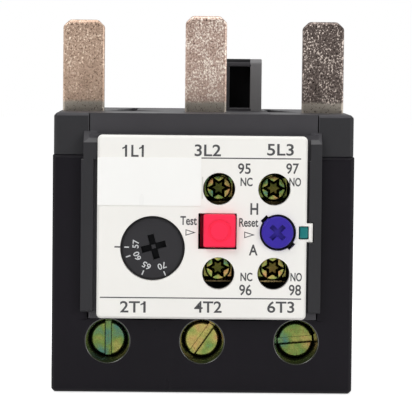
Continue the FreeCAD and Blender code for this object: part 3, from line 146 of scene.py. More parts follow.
class Graph:
    """The node tree of a material or of the world, with short calls for what the finishes share."""

    def __init__(self, owner: bpy.types.ID) -> None:
        """Start with an empty tree."""
        owner.use_nodes = True
        self.tree = owner.node_tree
        self.tree.nodes.clear()

    def node(self, kind: str, **settings: object) -> bpy.types.Node:
        """Add a node and set its plain settings."""
        item = self.tree.nodes.new("ShaderNode" + kind)
        for name, value in settings.items():
            setattr(item, name, value)
        return item

    def join(self, source: Socket | float | Sequence[float], target: Socket) -> None:
        """Link a socket, or write a plain value into it."""
        if isinstance(source, bpy.types.NodeSocket):
            self.tree.links.new(source, target)
        else:
            target.default_value = source

    def maths(self, operation: str, first: Socket | float, second: Socket | float = 0.0) -> Socket:
        """One sum."""
        item = self.node("Math", operation=operation)
        self.join(first, item.inputs[0])
        self.join(second, item.inputs[1])
        return item.outputs[0]

    def place(self, shift: Sequence[float] = (0, 0, 0), stretch: Sequence[float] = (1, 1, 1)) -> Socket:
        """The object's own coordinates, moved and stretched for a pattern."""
        item = self.node("Mapping")
        self.join(shift, item.inputs["Location"])
        self.join(stretch, item.inputs["Scale"])
        self.join(self.node("TexCoord").outputs["Object"], item.inputs["Vector"])
        return item.outputs[0]

    def noise(self, place: Socket, scale: float, detail: float = 3.0, rough: float = 0.55) -> Socket:
        """Soft cloudy variation from 0 to 1."""
        item = self.node("TexNoise")
        for name, value in (("Vector", place), ("Scale", scale), ("Detail", detail), ("Roughness", rough)):
            self.join(value, item.inputs[name])
        return item.outputs["Fac"]

    def cells(self, place: Socket, scale: float) -> Socket:
        """Small cells, as grains of a crystal surface."""
        item = self.node("TexVoronoi")
        self.join(place, item.inputs["Vector"])
        self.join(scale, item.inputs["Scale"])
        return item.outputs["Distance"]

    def ramp(self, factor: Socket, stops: Sequence[tuple[float, Colour]]) -> Socket:
        """A colour ramp through the stops."""
        item = self.node("ValToRGB")
        band = item.color_ramp
        while len(band.elements) < len(stops):
            band.elements.new(0.5)
        for element, (at, colour) in zip(band.elements, stops):
            element.position = at
            element.color = (*colour, 1.0)
        self.join(factor, item.inputs[0])
        return item.outputs["Color"]

    def span(self, factor: Socket, low: float, high: float, start: float = 0.0, end: float = 1.0) -> Socket:
        """Map a value from one span to another."""
        item = self.node("MapRange")
        for socket, value in zip(item.inputs, (factor, start, end, low, high)):
            self.join(value, socket)
        return item.outputs[0]

    def sway(self, noise: Socket, low: float, high: float) -> Socket:
        """Spread the middle of a noise, where most of it lies, over a span."""
        return self.span(noise, low, high, 0.3, 0.7)

    def blend(self, factor: Socket, first: Socket | Colour, second: Socket | Colour) -> Socket:
        """Mix two colours."""
        item = self.node("Mix", data_type="RGBA")
        self.join(factor, item.inputs[0])
        for colour, socket in ((first, item.inputs[6]), (second, item.inputs[7])):
            self.join((*colour, 1.0) if isinstance(colour, tuple) else colour, socket)
        return item.outputs[2]

    def bump(self, height: Socket, depth: float, strength: float, under: Socket | None = None) -> Socket:
        """A surface relief of a depth in metres."""
        item = self.node("Bump")
        self.join(strength, item.inputs["Strength"])
        self.join(depth, item.inputs["Distance"])
        self.join(height, item.inputs["Height"])
        if under is not None:
            self.join(under, item.inputs["Normal"])
        return item.outputs[0]

    def surface(self, **sockets: object) -> None:
        """End the tree in one shader; each keyword names a socket."""
        shader = self.node("BsdfPrincipled")
        for name, value in sockets.items():
            socket = shader.inputs[name.replace("_", " ")]
            self.join((*value, 1.0) if isinstance(value, tuple) and len(value) == 3 else value, socket)
        self.join(shader.outputs[0], self.node("OutputMaterial").inputs[0])


# Finishes

@dataclass(frozen=True)
class Finish:
    """A surface that knows how to make its own material."""

    name: str

    def material(self) -> bpy.types.Material:
        """The material, made once and shared."""
        made = bpy.data.materials.get(self.name)
        if made is None:
            made = bpy.data.materials.new(self.name)
            self.draw(Graph(made))
        return made

    def draw(self, graph: Graph) -> None:
        """Build the node tree."""
        raise NotImplementedError

    def cover(self, piece: Piece) -> Piece:
        """Dress a piece in this finish alone."""
        piece.data.materials.clear()
        piece.data.materials.append(self.material())
        return piece


@dataclass(frozen=True)
class Moulding(Finish):
    """Moulded plastic: faint cloudiness, fine spark-eroded grain and small handling marks."""

    tone: Colour
    cloud: float = 0.12
    cloud_scale: float = 45.0
    gloss_low: float = 0.38
    gloss_high: float = 0.56
    grain: float = 0.012
    grain_scale: float = 2600.0
    speck_scale: float = 910.0
    speck_cover: float = 0.25
    streak_scale: float = 420.0
    wave_scale: float = 28.0
    wave: float = 0.04
    specular: float = 0.35

    def draw(self, graph: Graph) -> None:
        """Cloud the tone, roughen it unevenly and raise the grain."""
        place = graph.place()
        cloud = graph.noise(place, self.cloud_scale, 4.0)
        darker = tuple(part * (1 - self.cloud) for part in self.tone)
        lighter = tuple(part * (1 + self.cloud) for part in self.tone)
        colour = graph.blend(graph.sway(cloud, 0, 1), darker, lighter)
        speck = graph.noise(place, self.speck_scale, 2.0)
        colour = graph.blend(graph.span(speck, 0, self.speck_cover, 0.62, 0.8), colour, lighter)
        streaks = graph.noise(graph.place(stretch=(1, 1, 0.12)), self.streak_scale)
        rough = graph.maths("ADD", graph.sway(cloud, self.gloss_low, self.gloss_high),
                            graph.sway(streaks, -0.05, 0.05))
        relief = graph.bump(graph.noise(place, self.grain_scale, 2.0), self.grain * MM, 0.6)
        relief = graph.bump(graph.noise(place, self.wave_scale, 2.0), self.wave * MM, 0.35, relief)
        graph.surface(Base_Color=colour, Roughness=rough, Specular_IOR_Level=self.specular, Normal=relief)


@dataclass(frozen=True)
class Plating(Finish):
    """Coarse bright plating on copper, with glints in its colour as painted highlights, dark grains as
    painted shade, and a painted reflection of the case at the root.
    """

    body: Colour
    glint: Colour
    shade: Colour
    coverage: float = 0.5
    grain_scale: float = 2300.0
    root: float = 67.6
    root_reflection_tone: Colour = (0.46, 0.41, 0.35)
    root_edge: float = 0.35
    ragged: float = 0.4
    relief: float = 0.05
    middle: float = 0.62
    pull: float = 0.2
    steps: tuple[float, ...] = (-0.15, -0.03, 0.05, 0.12)
    rough: float = 0.34

    def draw(self, graph: Graph) -> None:
        """Scatter painted glints and painted shade over the body tone and darken the root with a painted
        reflection of the case.
        """
        place = graph.place(stretch=(1, 1, 0.8))
        grains = graph.noise(place, self.grain_scale, 2.0, 0.75)
        clumps = graph.noise(place, self.grain_scale * 0.22, 3.0, 0.6)
        patches = graph.noise(place, 160.0)
        mottle = graph.maths("MULTIPLY", grains, 0.72)
        mottle = graph.maths("ADD", mottle, graph.maths("MULTIPLY", clumps, 0.28))
        mottle = graph.maths("ADD", mottle, graph.sway(patches, -0.03, 0.03))
        edge = self.middle - self.coverage * self.pull
        # Painted shade in the dark grains, painted highlights in the glints.
        tones = (self.shade, self.body, self.body, self.glint)
        colour = graph.ramp(mottle, [(edge + step, tone) for step, tone in zip(self.steps, tones)])
        axes = graph.node("SeparateXYZ")
        graph.join(graph.node("TexCoord").outputs["Object"], axes.inputs[0])
        level = graph.maths("ADD", axes.outputs[2], graph.span(clumps, -self.ragged * MM, self.ragged * MM))
        root = graph.span(level, 1, 0, (self.root - self.root_edge) * MM, (self.root + self.root_edge) * MM)
        # Painted reflection of the dark case along the blade's root.
        colour = graph.blend(root, colour, self.root_reflection_tone)
        rough = graph.sway(grains, self.rough - 0.14, self.rough + 0.2)
        relief = graph.bump(grains, self.relief * MM, 0.7)
        graph.surface(Base_Color=colour, Metallic=1.0, Roughness=rough, Normal=relief)


@dataclass(frozen=True)
class Passivation(Finish):
    """Zinc with a rainbow passivation: patches of green, yellow and orange over bright metal."""

    cool: Colour = (0.10, 0.26, 0.20)
    leaf: Colour = (0.20, 0.32, 0.08)
    straw: Colour = (0.44, 0.42, 0.12)
    ember: Colour = (0.62, 0.34, 0.14)
    shift: tuple[float, float, float] = (0.0, 0.0, 0.0)
    warmth: float = 0.5
    dim: float = 1.0
    patch_scale: float = 130.0
    pit_scale: float = 2400.0
    fine_scale: float = 3000.0
    steps: tuple[float, ...] = (0.34, 0.45, 0.56, 0.68)
    rough: float = 0.24

    def draw(self, graph: Graph) -> None:
        """Let the hue wander in patches, with fine pits and turning marks."""
        place = graph.place(shift=self.shift)
        patches = graph.noise(place, self.patch_scale, 2.5, 0.6)
        hue = graph.maths("ADD", patches, 0.16 * (self.warmth - 0.5))
        tones = (self.cool, self.leaf, self.straw, self.ember)
        hues = [tuple(part * self.dim for part in tone) for tone in tones]
        colour = graph.ramp(hue, list(zip(self.steps, hues)))
        fine = graph.noise(place, self.fine_scale, 2.0, 0.6)
        colour = graph.blend(graph.span(fine, 0, 0.25, 0.5, 0.75), colour, hues[-1])
        rough = graph.sway(fine, self.rough - 0.08, self.rough + 0.12)
        relief = graph.bump(fine, 0.008 * MM, 0.4)
        relief = graph.bump(graph.cells(place, self.pit_scale), 0.006 * MM, 0.25, relief)
        graph.surface(Base_Color=colour, Metallic=1.0, Roughness=rough, Normal=relief)


@dataclass(frozen=True)
class Metal(Finish):
    """Rolled or stamped metal with draw lines along one axis and dull patches."""

    bright: Colour
    dull: Colour
    lines: tuple[float, float, float] = (1.0, 1.0, 0.05)
    line_scale: float = 1800.0
    patch_scale: float = 120.0
    rough: float = 0.3

    def draw(self, graph: Graph) -> None:
        """Draw the lines and dull the metal in patches."""
        marks = graph.noise(graph.place(stretch=self.lines), self.line_scale)
        patches = graph.noise(graph.place(), self.patch_scale, 4.0)
        colour = graph.blend(graph.span(patches, 0, 1, 0.35, 0.65), self.bright, self.dull)
        rough = graph.maths("ADD", graph.sway(marks, self.rough - 0.08, self.rough + 0.08),
                            graph.sway(patches, -0.04, 0.1))
        relief = graph.bump(marks, 0.01 * MM, 0.5)
        graph.surface(Base_Color=colour, Metallic=1.0, Roughness=rough, Normal=relief)


@dataclass(frozen=True)
class Ink(Finish):
    """Pad-printed ink: slightly uneven cover and a dull surface."""

    tone: Colour
    thin: Colour
    speck_scale: float = 3200.0
    rough: float = 0.55

    def draw(self, graph: Graph) -> None:
        """Let the cover thin out in specks."""
        specks = graph.noise(graph.place(), self.speck_scale)
        colour = graph.blend(graph.span(specks, 0, 0.5, 0.5, 0.8), self.tone, self.thin)
        graph.surface(Base_Color=colour, Roughness=graph.span(specks, self.rough - 0.1, self.rough + 0.1),
                      Specular_IOR_Level=0.25, Normal=graph.bump(specks, 0.005 * MM, 0.4))


BODY_BLACK = Moulding("body_black_moulding", (0.0080, 0.0068, 0.0096), gloss_low=0.3, gloss_high=0.42,
                      specular=0.11)
# Screw wells: real gloss, with an olive tint that is a painted reflection of the zinc screws.
WELL_GLOSS_AND_PAINTED_REFLECTION = Moulding("well_gloss_painted_reflection_moulding", (0.016, 0.019, 0.008), gloss_low=0.08, gloss_high=0.16,
                      grain=0.002, specular=0.9)
UPPER_GREY = Moulding("upper_grey_moulding", (0.043, 0.041, 0.046), specular=0.28)
SIDE_GREY = Moulding("side_grey_moulding", (0.0205, 0.020, 0.0225), specular=0.26)
# Paler grey for the rails' upward sloped ends: painted light.
RAIL_PAINTED_LIGHT = Moulding("rail_painted_light_moulding", (0.074, 0.073, 0.076), specular=0.28)
# Pale grey of the hook's strip: painted light.
HOOK_PALE_PAINTED_LIGHT = Moulding("hook_pale_painted_light_moulding", (0.19, 0.187, 0.19), specular=0.35)
PLATE_WHITE = Moulding("plate_white_moulding", (0.90, 0.885, 0.845), cloud=0.015, gloss_low=0.42,
                       gloss_high=0.55, grain=0.006, specular=0.3)
DIAL_BLACK = Moulding("dial_black_moulding", (0.027, 0.026, 0.029), specular=0.20, grain=0.02)
BUTTON_RED = Moulding("button_red_moulding", (1.0, 0.022, 0.080), cloud=0.03, specular=0.25, grain=0.006)
BUTTON_BLUE = Moulding("button_blue_moulding", (0.034, 0.017, 0.34), cloud=0.05, specular=0.25, grain=0.006)
FLAG_GREEN = Moulding("flag_green_moulding", (0.003, 0.18, 0.18), cloud=0.05, specular=0.3)
SLIDE_CREAM = Moulding("slide_cream_moulding", (0.62, 0.57, 0.45), cloud=0.04)
INNER_GREY = Moulding("inner_grey_moulding", (0.06, 0.06, 0.065))
BRASS = Metal("stamped_brass", (0.78, 0.58, 0.26), (0.55, 0.40, 0.20))
STEEL = Metal("plain_steel", (0.62, 0.62, 0.63), (0.42, 0.42, 0.43))
BIMETAL = Metal("rolled_bimetal", (0.66, 0.64, 0.60), (0.50, 0.47, 0.43))
HEATER = Metal("oxidised_heater_tape", (0.42, 0.40, 0.39), (0.22, 0.20, 0.22))
# Darker olive zinc for the star recesses: painted shade.
PAINTED_SCREW_RECESS_SHADE = Passivation("zinc_recess_painted_shade", (0.035, 0.045, 0.012), (0.05, 0.055, 0.012), (0.075, 0.07, 0.015),
                           (0.10, 0.07, 0.02), dim=1.3, rough=0.3)
# Near-black painted shade for the test button's gap, the button's rear, the dial's cross recess and the
# hook's recess.
PAINTED_RECESS_SHADE = Moulding("painted_recess_shade_moulding", (0.005, 0.005, 0.006), specular=0.08, grain=0.01)
PRINT_DARK = Ink("dark_print", (0.075, 0.075, 0.078), (0.14, 0.14, 0.14))
PALE_PRINT_AND_SHADOW = Ink("pale_print_and_painted_shadow", (0.70, 0.69, 0.65), (0.80, 0.79, 0.75))
PRINT_WHITE = Ink("white_dial_print", (0.62, 0.63, 0.64), (0.45, 0.46, 0.47))
LABEL_FILM = Moulding("label_film", (0.95, 0.945, 0.92), cloud=0.01, gloss_low=0.3, gloss_high=0.42,
                      grain=0.003)


# Modelling helpers

ROUNDED_FROM = math.radians(32.0)
SMOOTH_UP_TO = math.radians(40.0)
MERGED_WITHIN = 0.002 * MM
FLAT_WITHIN = math.radians(0.5)


def clear_selection() -> None:
    """Leave edit mode and deselect all."""
    if bpy.context.object is not None and bpy.context.object.mode != "OBJECT":
        bpy.ops.object.mode_set(mode="OBJECT")
    bpy.ops.object.select_all(action="DESELECT")


def activate(piece: Piece) -> Piece:
    """Select one piece alone and make it active."""
    clear_selection()
    piece.select_set(True)
    bpy.context.view_layer.objects.active = piece
    return piece


@contextmanager
def editing(piece: Piece, kind: str = "VERT", everything: bool = True) -> Iterator[None]:
    """Edit a piece, all of it or only what is picked already."""
    activate(piece)
    bpy.ops.object.mode_set(mode="EDIT")
    bpy.ops.mesh.select_mode(type=kind)
    if everything:
        bpy.ops.mesh.select_all(action="SELECT")
    yield
    bpy.ops.object.mode_set(mode="OBJECT")


def raise_sheet(piece: Piece, height: float) -> Piece:
    """Give a flat sheet its thickness, and turn its faces outwards."""
    with editing(piece):
        bpy.ops.mesh.extrude_region_move(TRANSFORM_OT_translate={"value": (0, 0, height)})
        bpy.ops.mesh.select_all(action="SELECT")
        bpy.ops.mesh.normals_make_consistent(inside=False)
    return piece


def flat_bar(name: str, wide: float, tall: float, depth: float, corner: float, segments: int) -> Piece:
    """A thin bar with rounded corners, from a plane in the XY plane."""
    clear_selection()
    bpy.ops.mesh.primitive_plane_add(size=1.0)
    piece = take_primitive(name)
    move_mesh(piece, Matrix.Diagonal((wide, tall, 1, 1)))
    if corner:
        with editing(piece):
            bpy.ops.mesh.bevel(offset=corner, segments=segments, affect="VERTICES")
    return raise_sheet(piece, depth)


def take_primitive(name: str) -> Piece:
    """Name the primitive that was just added and put its place into its mesh."""
    piece = bpy.context.object
    piece.name = name
    piece.data.name = name
    activate(piece)
    bpy.ops.object.transform_apply(location=True, rotation=True, scale=True)
    return piece


def pick_faces(piece: Piece, chosen: Callable[[Face], bool]) -> None:
    """Select the faces that the test picks, in object mode."""
    for part in (*piece.data.vertices, *piece.data.edges):
        part.select = False
    for face in piece.data.polygons:
        face.select = chosen(face)


def paint(piece: Piece, finish: Finish, chosen: Callable[[Face], bool]) -> None:
    """Give the faces that the test picks a finish of their own."""
    piece.data.materials.append(finish.material())
    last = len(piece.data.materials) - 1
    for face in piece.data.polygons:
        if chosen(face):
            face.material_index = last


def middle_of(node: str) -> Vector:
    """The middle of a node's box."""
    low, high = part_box(node)
    return (Vector(low) + Vector(high)) / 2


def apply_modifier(piece: Piece, kind: str, **settings: object) -> Piece:
    """Add a modifier with its settings and apply it."""
    activate(piece)
    modifier = piece.modifiers.new(kind.lower(), kind)
    for name, value in settings.items():
        setattr(modifier, name, value)
    bpy.ops.object.modifier_apply(modifier=modifier.name)
    return piece


def soften(piece: Piece, width: float, segments: int = 2, clamp: bool = True) -> Piece:
    """Round every sharp edge, and shade smoothly with the flat faces kept flat.

    Args:
        piece: the piece to round.
        width: the size of the rounding, in metres.
        segments: how many facets make the rounding.
        clamp: whether the rounding shrinks where it would overlap.

    Returns:
        The same piece.
    """
    apply_modifier(piece, "BEVEL", width=width, segments=segments, limit_method="ANGLE",
                   angle_limit=ROUNDED_FROM, use_clamp_overlap=clamp, loop_slide=clamp)
    activate(piece)
    bpy.ops.object.shade_smooth_by_angle(angle=SMOOTH_UP_TO)
    apply_modifier(piece, "WEIGHTED_NORMAL", mode="FACE_AREA", keep_sharp=True)
    return piece


def carve(piece: Piece, tool: Piece) -> Piece:
    """Cut a tool out of a piece and remove the tool."""
    apply_modifier(piece, "BOOLEAN", operation="DIFFERENCE", object=tool, solver="EXACT")
    bpy.data.objects.remove(tool, do_unlink=True)
    return piece


def move_mesh(piece: Piece, matrix: Matrix) -> Piece:
    """Put a placement into the piece's mesh."""
    piece.data.transform(matrix)
    piece.data.update()
    return piece


def facing_front(place: Vector, turn: float = 0.0) -> Matrix:
    """The placement that stands a flat XY drawing up at a place, looking along -Y."""
    return (Matrix.Translation(place) @ Matrix.Rotation(math.radians(90), 4, "X")
            @ Matrix.Rotation(turn, 4, "Z"))


def settle(piece: Piece, body: str, finish: Finish | None = None,
           stands_for: Iterable[str] = ()) -> Piece:
    """Give a finished piece its body, its finish and the nodes that it stands for."""
    if finish is not None:
        finish.cover(piece)
    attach(piece, body)
    for node in stands_for:
        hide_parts(node)
    log.info("%s rides on %s", piece.name, body)
    return piece


def merged_copy(node: str, name: str, joined: bool = True) -> Piece:
    """A copy of a CAD node with its loose triangles merged.

    Args:
        node: the CAD node.
        name: the copy's name.
        joined: whether the triangles of each flat face are joined into one face too.

    Returns:
        The copy, which stands where the node does.
    """
    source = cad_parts[node]
    piece = bpy.data.objects.new(name, source.data.copy())
    bpy.context.scene.collection.objects.link(piece)
    piece.data.name = name
    for key in list(piece.data.attributes.keys()):
        if key in ("sharp_face", "sharp_edge", "custom_normal"):
            piece.data.attributes.remove(piece.data.attributes[key])
    with editing(piece):
        bpy.ops.mesh.remove_doubles(threshold=MERGED_WITHIN)
        if joined:
            bpy.ops.mesh.dissolve_limited(angle_limit=FLAT_WITHIN)
    return piece


# Case

@dataclass
class Case:
    """The mouldings of the case, with softened edges."""

    edge: float = 0.22 * MM
    fine_edge: float = 0.12 * MM
    side_seam: float = 27.2 * MM
    pitch: float = 22.0 * MM
    well_radius: float = 5.25 * MM
    well_height: float = 12.1 * MM
    well_mouth: float = -35.9 * MM
    funnel_end: float = -32.4 * MM
    bore: float = 5.1 * MM
    bore_end: float = 4.45 * MM
    bore_play: float = 0.2 * MM
    rail_start: float = 24.4 * MM
    rail_front: float = -37.6 * MM
    rail_slope: float = 0.3
    test_centre: float = 3.5 * MM
    test_middle: float = 38.1 * MM
    test_half: float = 3.8 * MM
    test_wall: float = 0.25 * MM
    play_left: float = 0.6 * MM
    play_right: float = 0.2 * MM
    hook_left: float = 6.6 * MM
    hook_strip: float = 12.0 * MM
    hook_face: float = 10.3 * MM
    hook_recess: float = 15.2 * MM
    hook_roof: float = 86.0 * MM

    def build(self) -> None:
        """Dress each moulding, then the faces of it that differ."""
        self.gloss_wells_paint_reflection(self.moulding("terminal_housing", "terminal_moulding", BODY_BLACK))
        self.moulding("rear_base", "rear_moulding", BODY_BLACK)
        self.darken_sides(self.moulding("top_housing", "top_moulding", UPPER_GREY))
        cover = self.moulding("front_cover", "cover_moulding", UPPER_GREY)
        self.darken_rails(cover)
        self.paint_test_hole_shade(cover)
        self.paint_test_hole_shade(self.moulding("face_plate", "plate_moulding", PLATE_WHITE))
        self.darken_hook(self.moulding("mounting_hook", "hook_moulding", HOOK_PALE_PAINTED_LIGHT))

    def moulding(self, node: str, name: str, finish: Finish) -> Piece:
        """One moulding, as a merged copy of its node with rounded edges."""
        piece = merged_copy(node, name, joined=False)
        edge = self.edge
        if node == "terminal_housing":
            self.taper_wells(piece)
        if node in ("face_plate", "front_cover"):
            self.widen_test_hole(piece)
            edge = self.fine_edge
        # Split the hook where its strip ends, so the pale painted light stays on the strip.
        if node == "mounting_hook":
            with editing(piece):
                bpy.ops.mesh.bisect(plane_co=(self.hook_strip, 0, 0), plane_no=(1, 0, 0))
        return settle(soften(piece, edge, clamp=False), "case", finish, [node])

    def well_axis(self, x: float) -> float:
        """How far right the axis of the nearest screw well stands."""
        return self.pitch * max(-1, min(1, round(x / self.pitch)))

    def taper_wells(self, piece: Piece) -> None:
        """Draw the three screw wells in behind their mouths, as the mould's core pins taper."""
        with editing(piece):
            bpy.ops.mesh.bisect(plane_co=(0, self.funnel_end, 0), plane_no=(0, 1, 0))
        for vertex in piece.data.vertices:
            axis = self.well_axis(vertex.co.x)
            across, up = vertex.co.x - axis, vertex.co.z - self.well_height
            reach = math.hypot(across, up)
            if abs(reach - self.bore) < self.bore_play and vertex.co.y > self.well_mouth:
                vertex.co.x = axis + across * self.bore_end / reach
                vertex.co.z = self.well_height + up * self.bore_end / reach

    def gloss_wells_paint_reflection(self, piece: Piece) -> None:
        """Polish the walls of the three screw wells, as the mould's core pins do, and tint them olive as a
        painted reflection of the zinc screws.
        """
        paint(piece, WELL_GLOSS_AND_PAINTED_REFLECTION, self.in_well)

    def in_well(self, face: Face) -> bool:
        """Whether a face lies in a screw well."""
        across = face.center.x - self.well_axis(face.center.x)
        return math.hypot(across, face.center.z - self.well_height) < self.well_radius

    def widen_test_hole(self, piece: Piece) -> None:
        """Give the test button's hole the play that its guide leaves at the left."""
        for vertex in piece.data.vertices:
            across, up = vertex.co.x - self.test_centre, vertex.co.z - self.test_middle
            beside = abs(abs(across) - self.test_half) < self.test_wall
            if beside and abs(up) < self.test_half + 2 * self.test_wall:
                vertex.co.x += self.play_right if across > 0 else -self.play_left

    def paint_test_hole_shade(self, piece: Piece) -> None:
        """Paint shade on the walls round the test button, in the darkest plastic."""
        reach = self.test_half + 2 * self.play_left
        paint(piece, PAINTED_RECESS_SHADE, lambda face: abs(face.center.x - self.test_centre) < reach
              and abs(face.center.z - self.test_middle) < reach and abs(face.normal.y) < 0.7)

    def darken_sides(self, piece: Piece) -> None:
        """Make the side panels beyond the seams darker."""
        paint(piece, SIDE_GREY, lambda face: abs(face.center.x) > self.side_seam and face.normal.z < 0.5)

    def darken_rails(self, piece: Piece) -> None:
        """Make the side rails darker, and paint light on their upward sloped ends with a paler grey."""
        paint(piece, SIDE_GREY, lambda face: self.on_rail(face) and face.normal.z < self.rail_slope)
        # Painted light on the upward sloped ends.
        paint(piece, RAIL_PAINTED_LIGHT, lambda face: self.on_rail(face) and face.normal.z >= self.rail_slope)

    def on_rail(self, face: Face) -> bool:
        """Whether a face belongs to a side rail."""
        return abs(face.center.x) > self.rail_start and face.center.y < self.rail_front

    def darken_hook(self, piece: Piece) -> None:
        """Leave the hook's strip in its pale grey, which is painted light; give its face beside the strip the
        darker plastic, and paint shade inside its recess.
        """
        paint(piece, UPPER_GREY, lambda face: face.center.x < self.hook_strip
              and face.center.y < self.hook_face and face.normal.y < -0.5)
        # Painted shade inside the hook's recess.
        paint(piece, PAINTED_RECESS_SHADE, lambda face: self.hook_left < face.center.x < self.hook_strip + 0.05 * MM
              and self.hook_face < face.center.y < self.hook_recess and face.center.z < self.hook_roof)


# Printed marks

@dataclass(frozen=True, kw_only=True)
class Region:
    """A place on the plate, by the pixels of the picture that show its edges."""

    left: float
    right: float
    top: float
    base: float


@dataclass(frozen=True)
class Legend(Region):
    """A printed word or number."""

    name: str
    text: str


# name, text, left, right, top and base
LEGEND_TABLE = (
    ("line_1", "1L1", 122.3, 143.9, 145.0, 156.7),
    ("line_2", "3L2", 194.6, 221.0, 144.6, 156.2),
    ("line_3", "5L3", 267.1, 293.9, 144.0, 155.6),
    ("load_1", "2T1", 119.9, 145.7, 301.2, 312.4),
    ("load_2", "4T2", 194.1, 221.7, 301.4, 312.6),
    ("load_3", "6T3", 267.2, 294.3, 301.6, 312.8),
    ("contact_95", "95", 238.0, 250.8, 163.4, 174.0),
    ("contact_97", "97", 286.2, 299.0, 163.4, 174.0),
    ("contact_96", "96", 239.1, 251.6, 284.6, 295.4),
    ("contact_98", "98", 288.7, 301.1, 284.8, 295.6),
    ("closed_upper", "NC", 240.5, 252.6, 177.7, 186.2),
    ("open_upper", "NO", 289.3, 301.1, 177.9, 186.4),
    ("closed_lower", "NC", 240.4, 252.4, 272.7, 281.2),
    ("open_lower", "NO", 290.4, 301.9, 272.9, 281.4),
    ("hand", "H", 250.3, 258.3, 203.2, 214.8),
    ("automatic", "A", 248.8, 257.7, 244.6, 255.4),
    ("test_word", "Test", 180.3, 196.9, 216.2, 225.0),
    ("reset_word", "Reset", 239.1, 258.3, 218.2, 226.8),
)
LEGENDS = tuple(Legend(name, text, left=left, right=right, top=top, base=base)
                for name, text, left, right, top, base in LEGEND_TABLE)


RULES = {"upper_line": Region(left=201.5, right=301.1, top=158.5, base=158.5),
         "lower_line": Region(left=99.9, right=301.1, top=298.2, base=298.2)}
ARROWS = {"test_arrow": Region(left=185.5, right=195.8, top=229.3, base=235.7),
          "reset_arrow": Region(left=244.2, right=254.9, top=231.6, base=238.2)}
POINTER = Region(left=114.4, right=120.8, top=246.2, base=247.6)
LABEL = Region(left=97.4, right=201.3, top=157.9, base=205.0)
# Grey box beside the label: partly printed, partly the label's painted shadow.
PALE_BOX_AND_LABEL_SHADOW = Region(left=201.7, right=203.3, top=176.8, base=198.6)


@dataclass
class PlatePrint:
    """Everything printed on the face plate or stuck to it."""

    plate_front: float = field(default_factory=lambda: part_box("face_plate")[0][1])
    ink: float = 0.02 * MM
    film: float = 0.22 * MM
    rule_width: float = 0.26 * MM
    stroke: float = 0.19 * MM
    pointer_corner: float = 0.05 * MM
    label_corner: float = 0.35 * MM
    word_weight: float = 0.022
    figure_weight: float = 0.014

    def build(self) -> None:
        """Print the legends, rules and arrows, and lay the blank label with the pale box beside it, which is
        partly a printed box and partly the label's painted shadow.
        """
        for legend in LEGENDS:
            self.legend(legend)
        for name, region in RULES.items():
            low, high = self.corners(region)
            level = (low.z + high.z) / 2
            low.z, high.z = level - self.rule_width / 2, level + self.rule_width / 2
            self.bar(name, low, high, self.ink, PRINT_DARK, "dial_black")
        for name, region in ARROWS.items():
            self.arrow(name, region)
        self.bar("dial_pointer", *self.corners(POINTER), self.ink, PRINT_DARK, "dial_black",
                 self.pointer_corner)
        self.bar("blank_label", *self.corners(LABEL), self.film, LABEL_FILM, "plate_white", self.label_corner)
        self.bar("pale_box_and_label_shadow", *self.corners(PALE_BOX_AND_LABEL_SHADOW), self.ink, PALE_PRINT_AND_SHADOW, "plate_white")

    def corners(self, region: Region) -> tuple[Vector, Vector]:
        """The lower left and upper right corners of a region, on the plate's face."""
        return (VIEW.on_plane(region.left, region.base, self.plate_front),
                VIEW.on_plane(region.right, region.top, self.plate_front))

    def legend(self, legend: Legend) -> None:
        """One word, set to the size that the picture shows."""
        low, high = self.corners(legend)
        weight = self.word_weight if legend.text.isalpha() else self.figure_weight
        size = high - low
        piece = lettering(legend.name + "_print", legend.text, size.x, size.z, self.ink, weight)
        move_mesh(piece, facing_front(low))
        settle(piece, "case", PRINT_DARK)

    def bar(self, name: str, low: Vector, high: Vector, depth: float, finish: Finish, slot: str,
            corner: float = 0.0) -> None:
        """A thin flat bar on the plate."""
        piece = flat_bar(name, high.x - low.x, high.z - low.z, depth, corner, 4)
        middle = (low + high) / 2
        move_mesh(piece, facing_front(Vector((middle.x, self.plate_front, middle.z))))
        settle(piece, "case", finish)

    def arrow(self, name: str, region: Region) -> None:
        """A hollow triangle that points right."""
        low, high = self.corners(region)
        wide, tall = high.x - low.x, high.z - low.z
        clear_selection()
        bpy.ops.mesh.primitive_circle_add(vertices=3, radius=1.0, fill_type="NGON")
        piece = take_primitive(name)
        for vertex, corner in zip(piece.data.vertices, ((0, 0), (0, tall), (wide, tall / 2))):
            vertex.co = (*corner, 0)
        with editing(piece, "FACE"):
            bpy.ops.mesh.inset(thickness=self.stroke)
            bpy.ops.mesh.delete(type="FACE")
        raise_sheet(piece, self.ink)
        move_mesh(piece, facing_front(low))
        settle(piece, "case", PRINT_DARK)


FLAG_REACH = 0.22
FLAG_DROPS = (0.0, 0.13, 0.23, 0.36, 0.27)


def flag_ones(piece: Piece) -> None:
    """Give each plain upright stroke that stands for a figure 1 the slanted flag at its top."""
    mesh = bmesh.new()
    mesh.from_mesh(piece.data)
    left = set(mesh.verts)
    while left:
        island, edge = set(), {left.pop()}
        while edge:
            vertex = edge.pop()
            island.add(vertex)
            edge |= {link.other_vert(vertex) for link in vertex.link_edges} - island
        left -= island
        low_x, high_x = min(v.co.x for v in island), max(v.co.x for v in island)
        low_y, high_y = min(v.co.y for v in island), max(v.co.y for v in island)
        tall = high_y - low_y
        if len(island) > 8 or tall < 4 * (high_x - low_x):
            continue
        tip = low_x - FLAG_REACH * tall
        outline = [(x, high_y - drop * tall) for x, drop in zip((high_x, low_x, tip, tip, low_x), FLAG_DROPS)]
        levels = (min(v.co.z for v in island), max(v.co.z for v in island))
        under, over = [[mesh.verts.new((x, y, z)) for x, y in outline] for z in levels]
        mesh.faces.new(over[::-1])
        mesh.faces.new(under)
        for here in range(len(outline)):
            there = (here + 1) % len(outline)
            mesh.faces.new((under[there], under[here], over[here], over[there]))
    bmesh.ops.recalc_face_normals(mesh, faces=mesh.faces)
    mesh.to_mesh(piece.data)
    mesh.free()


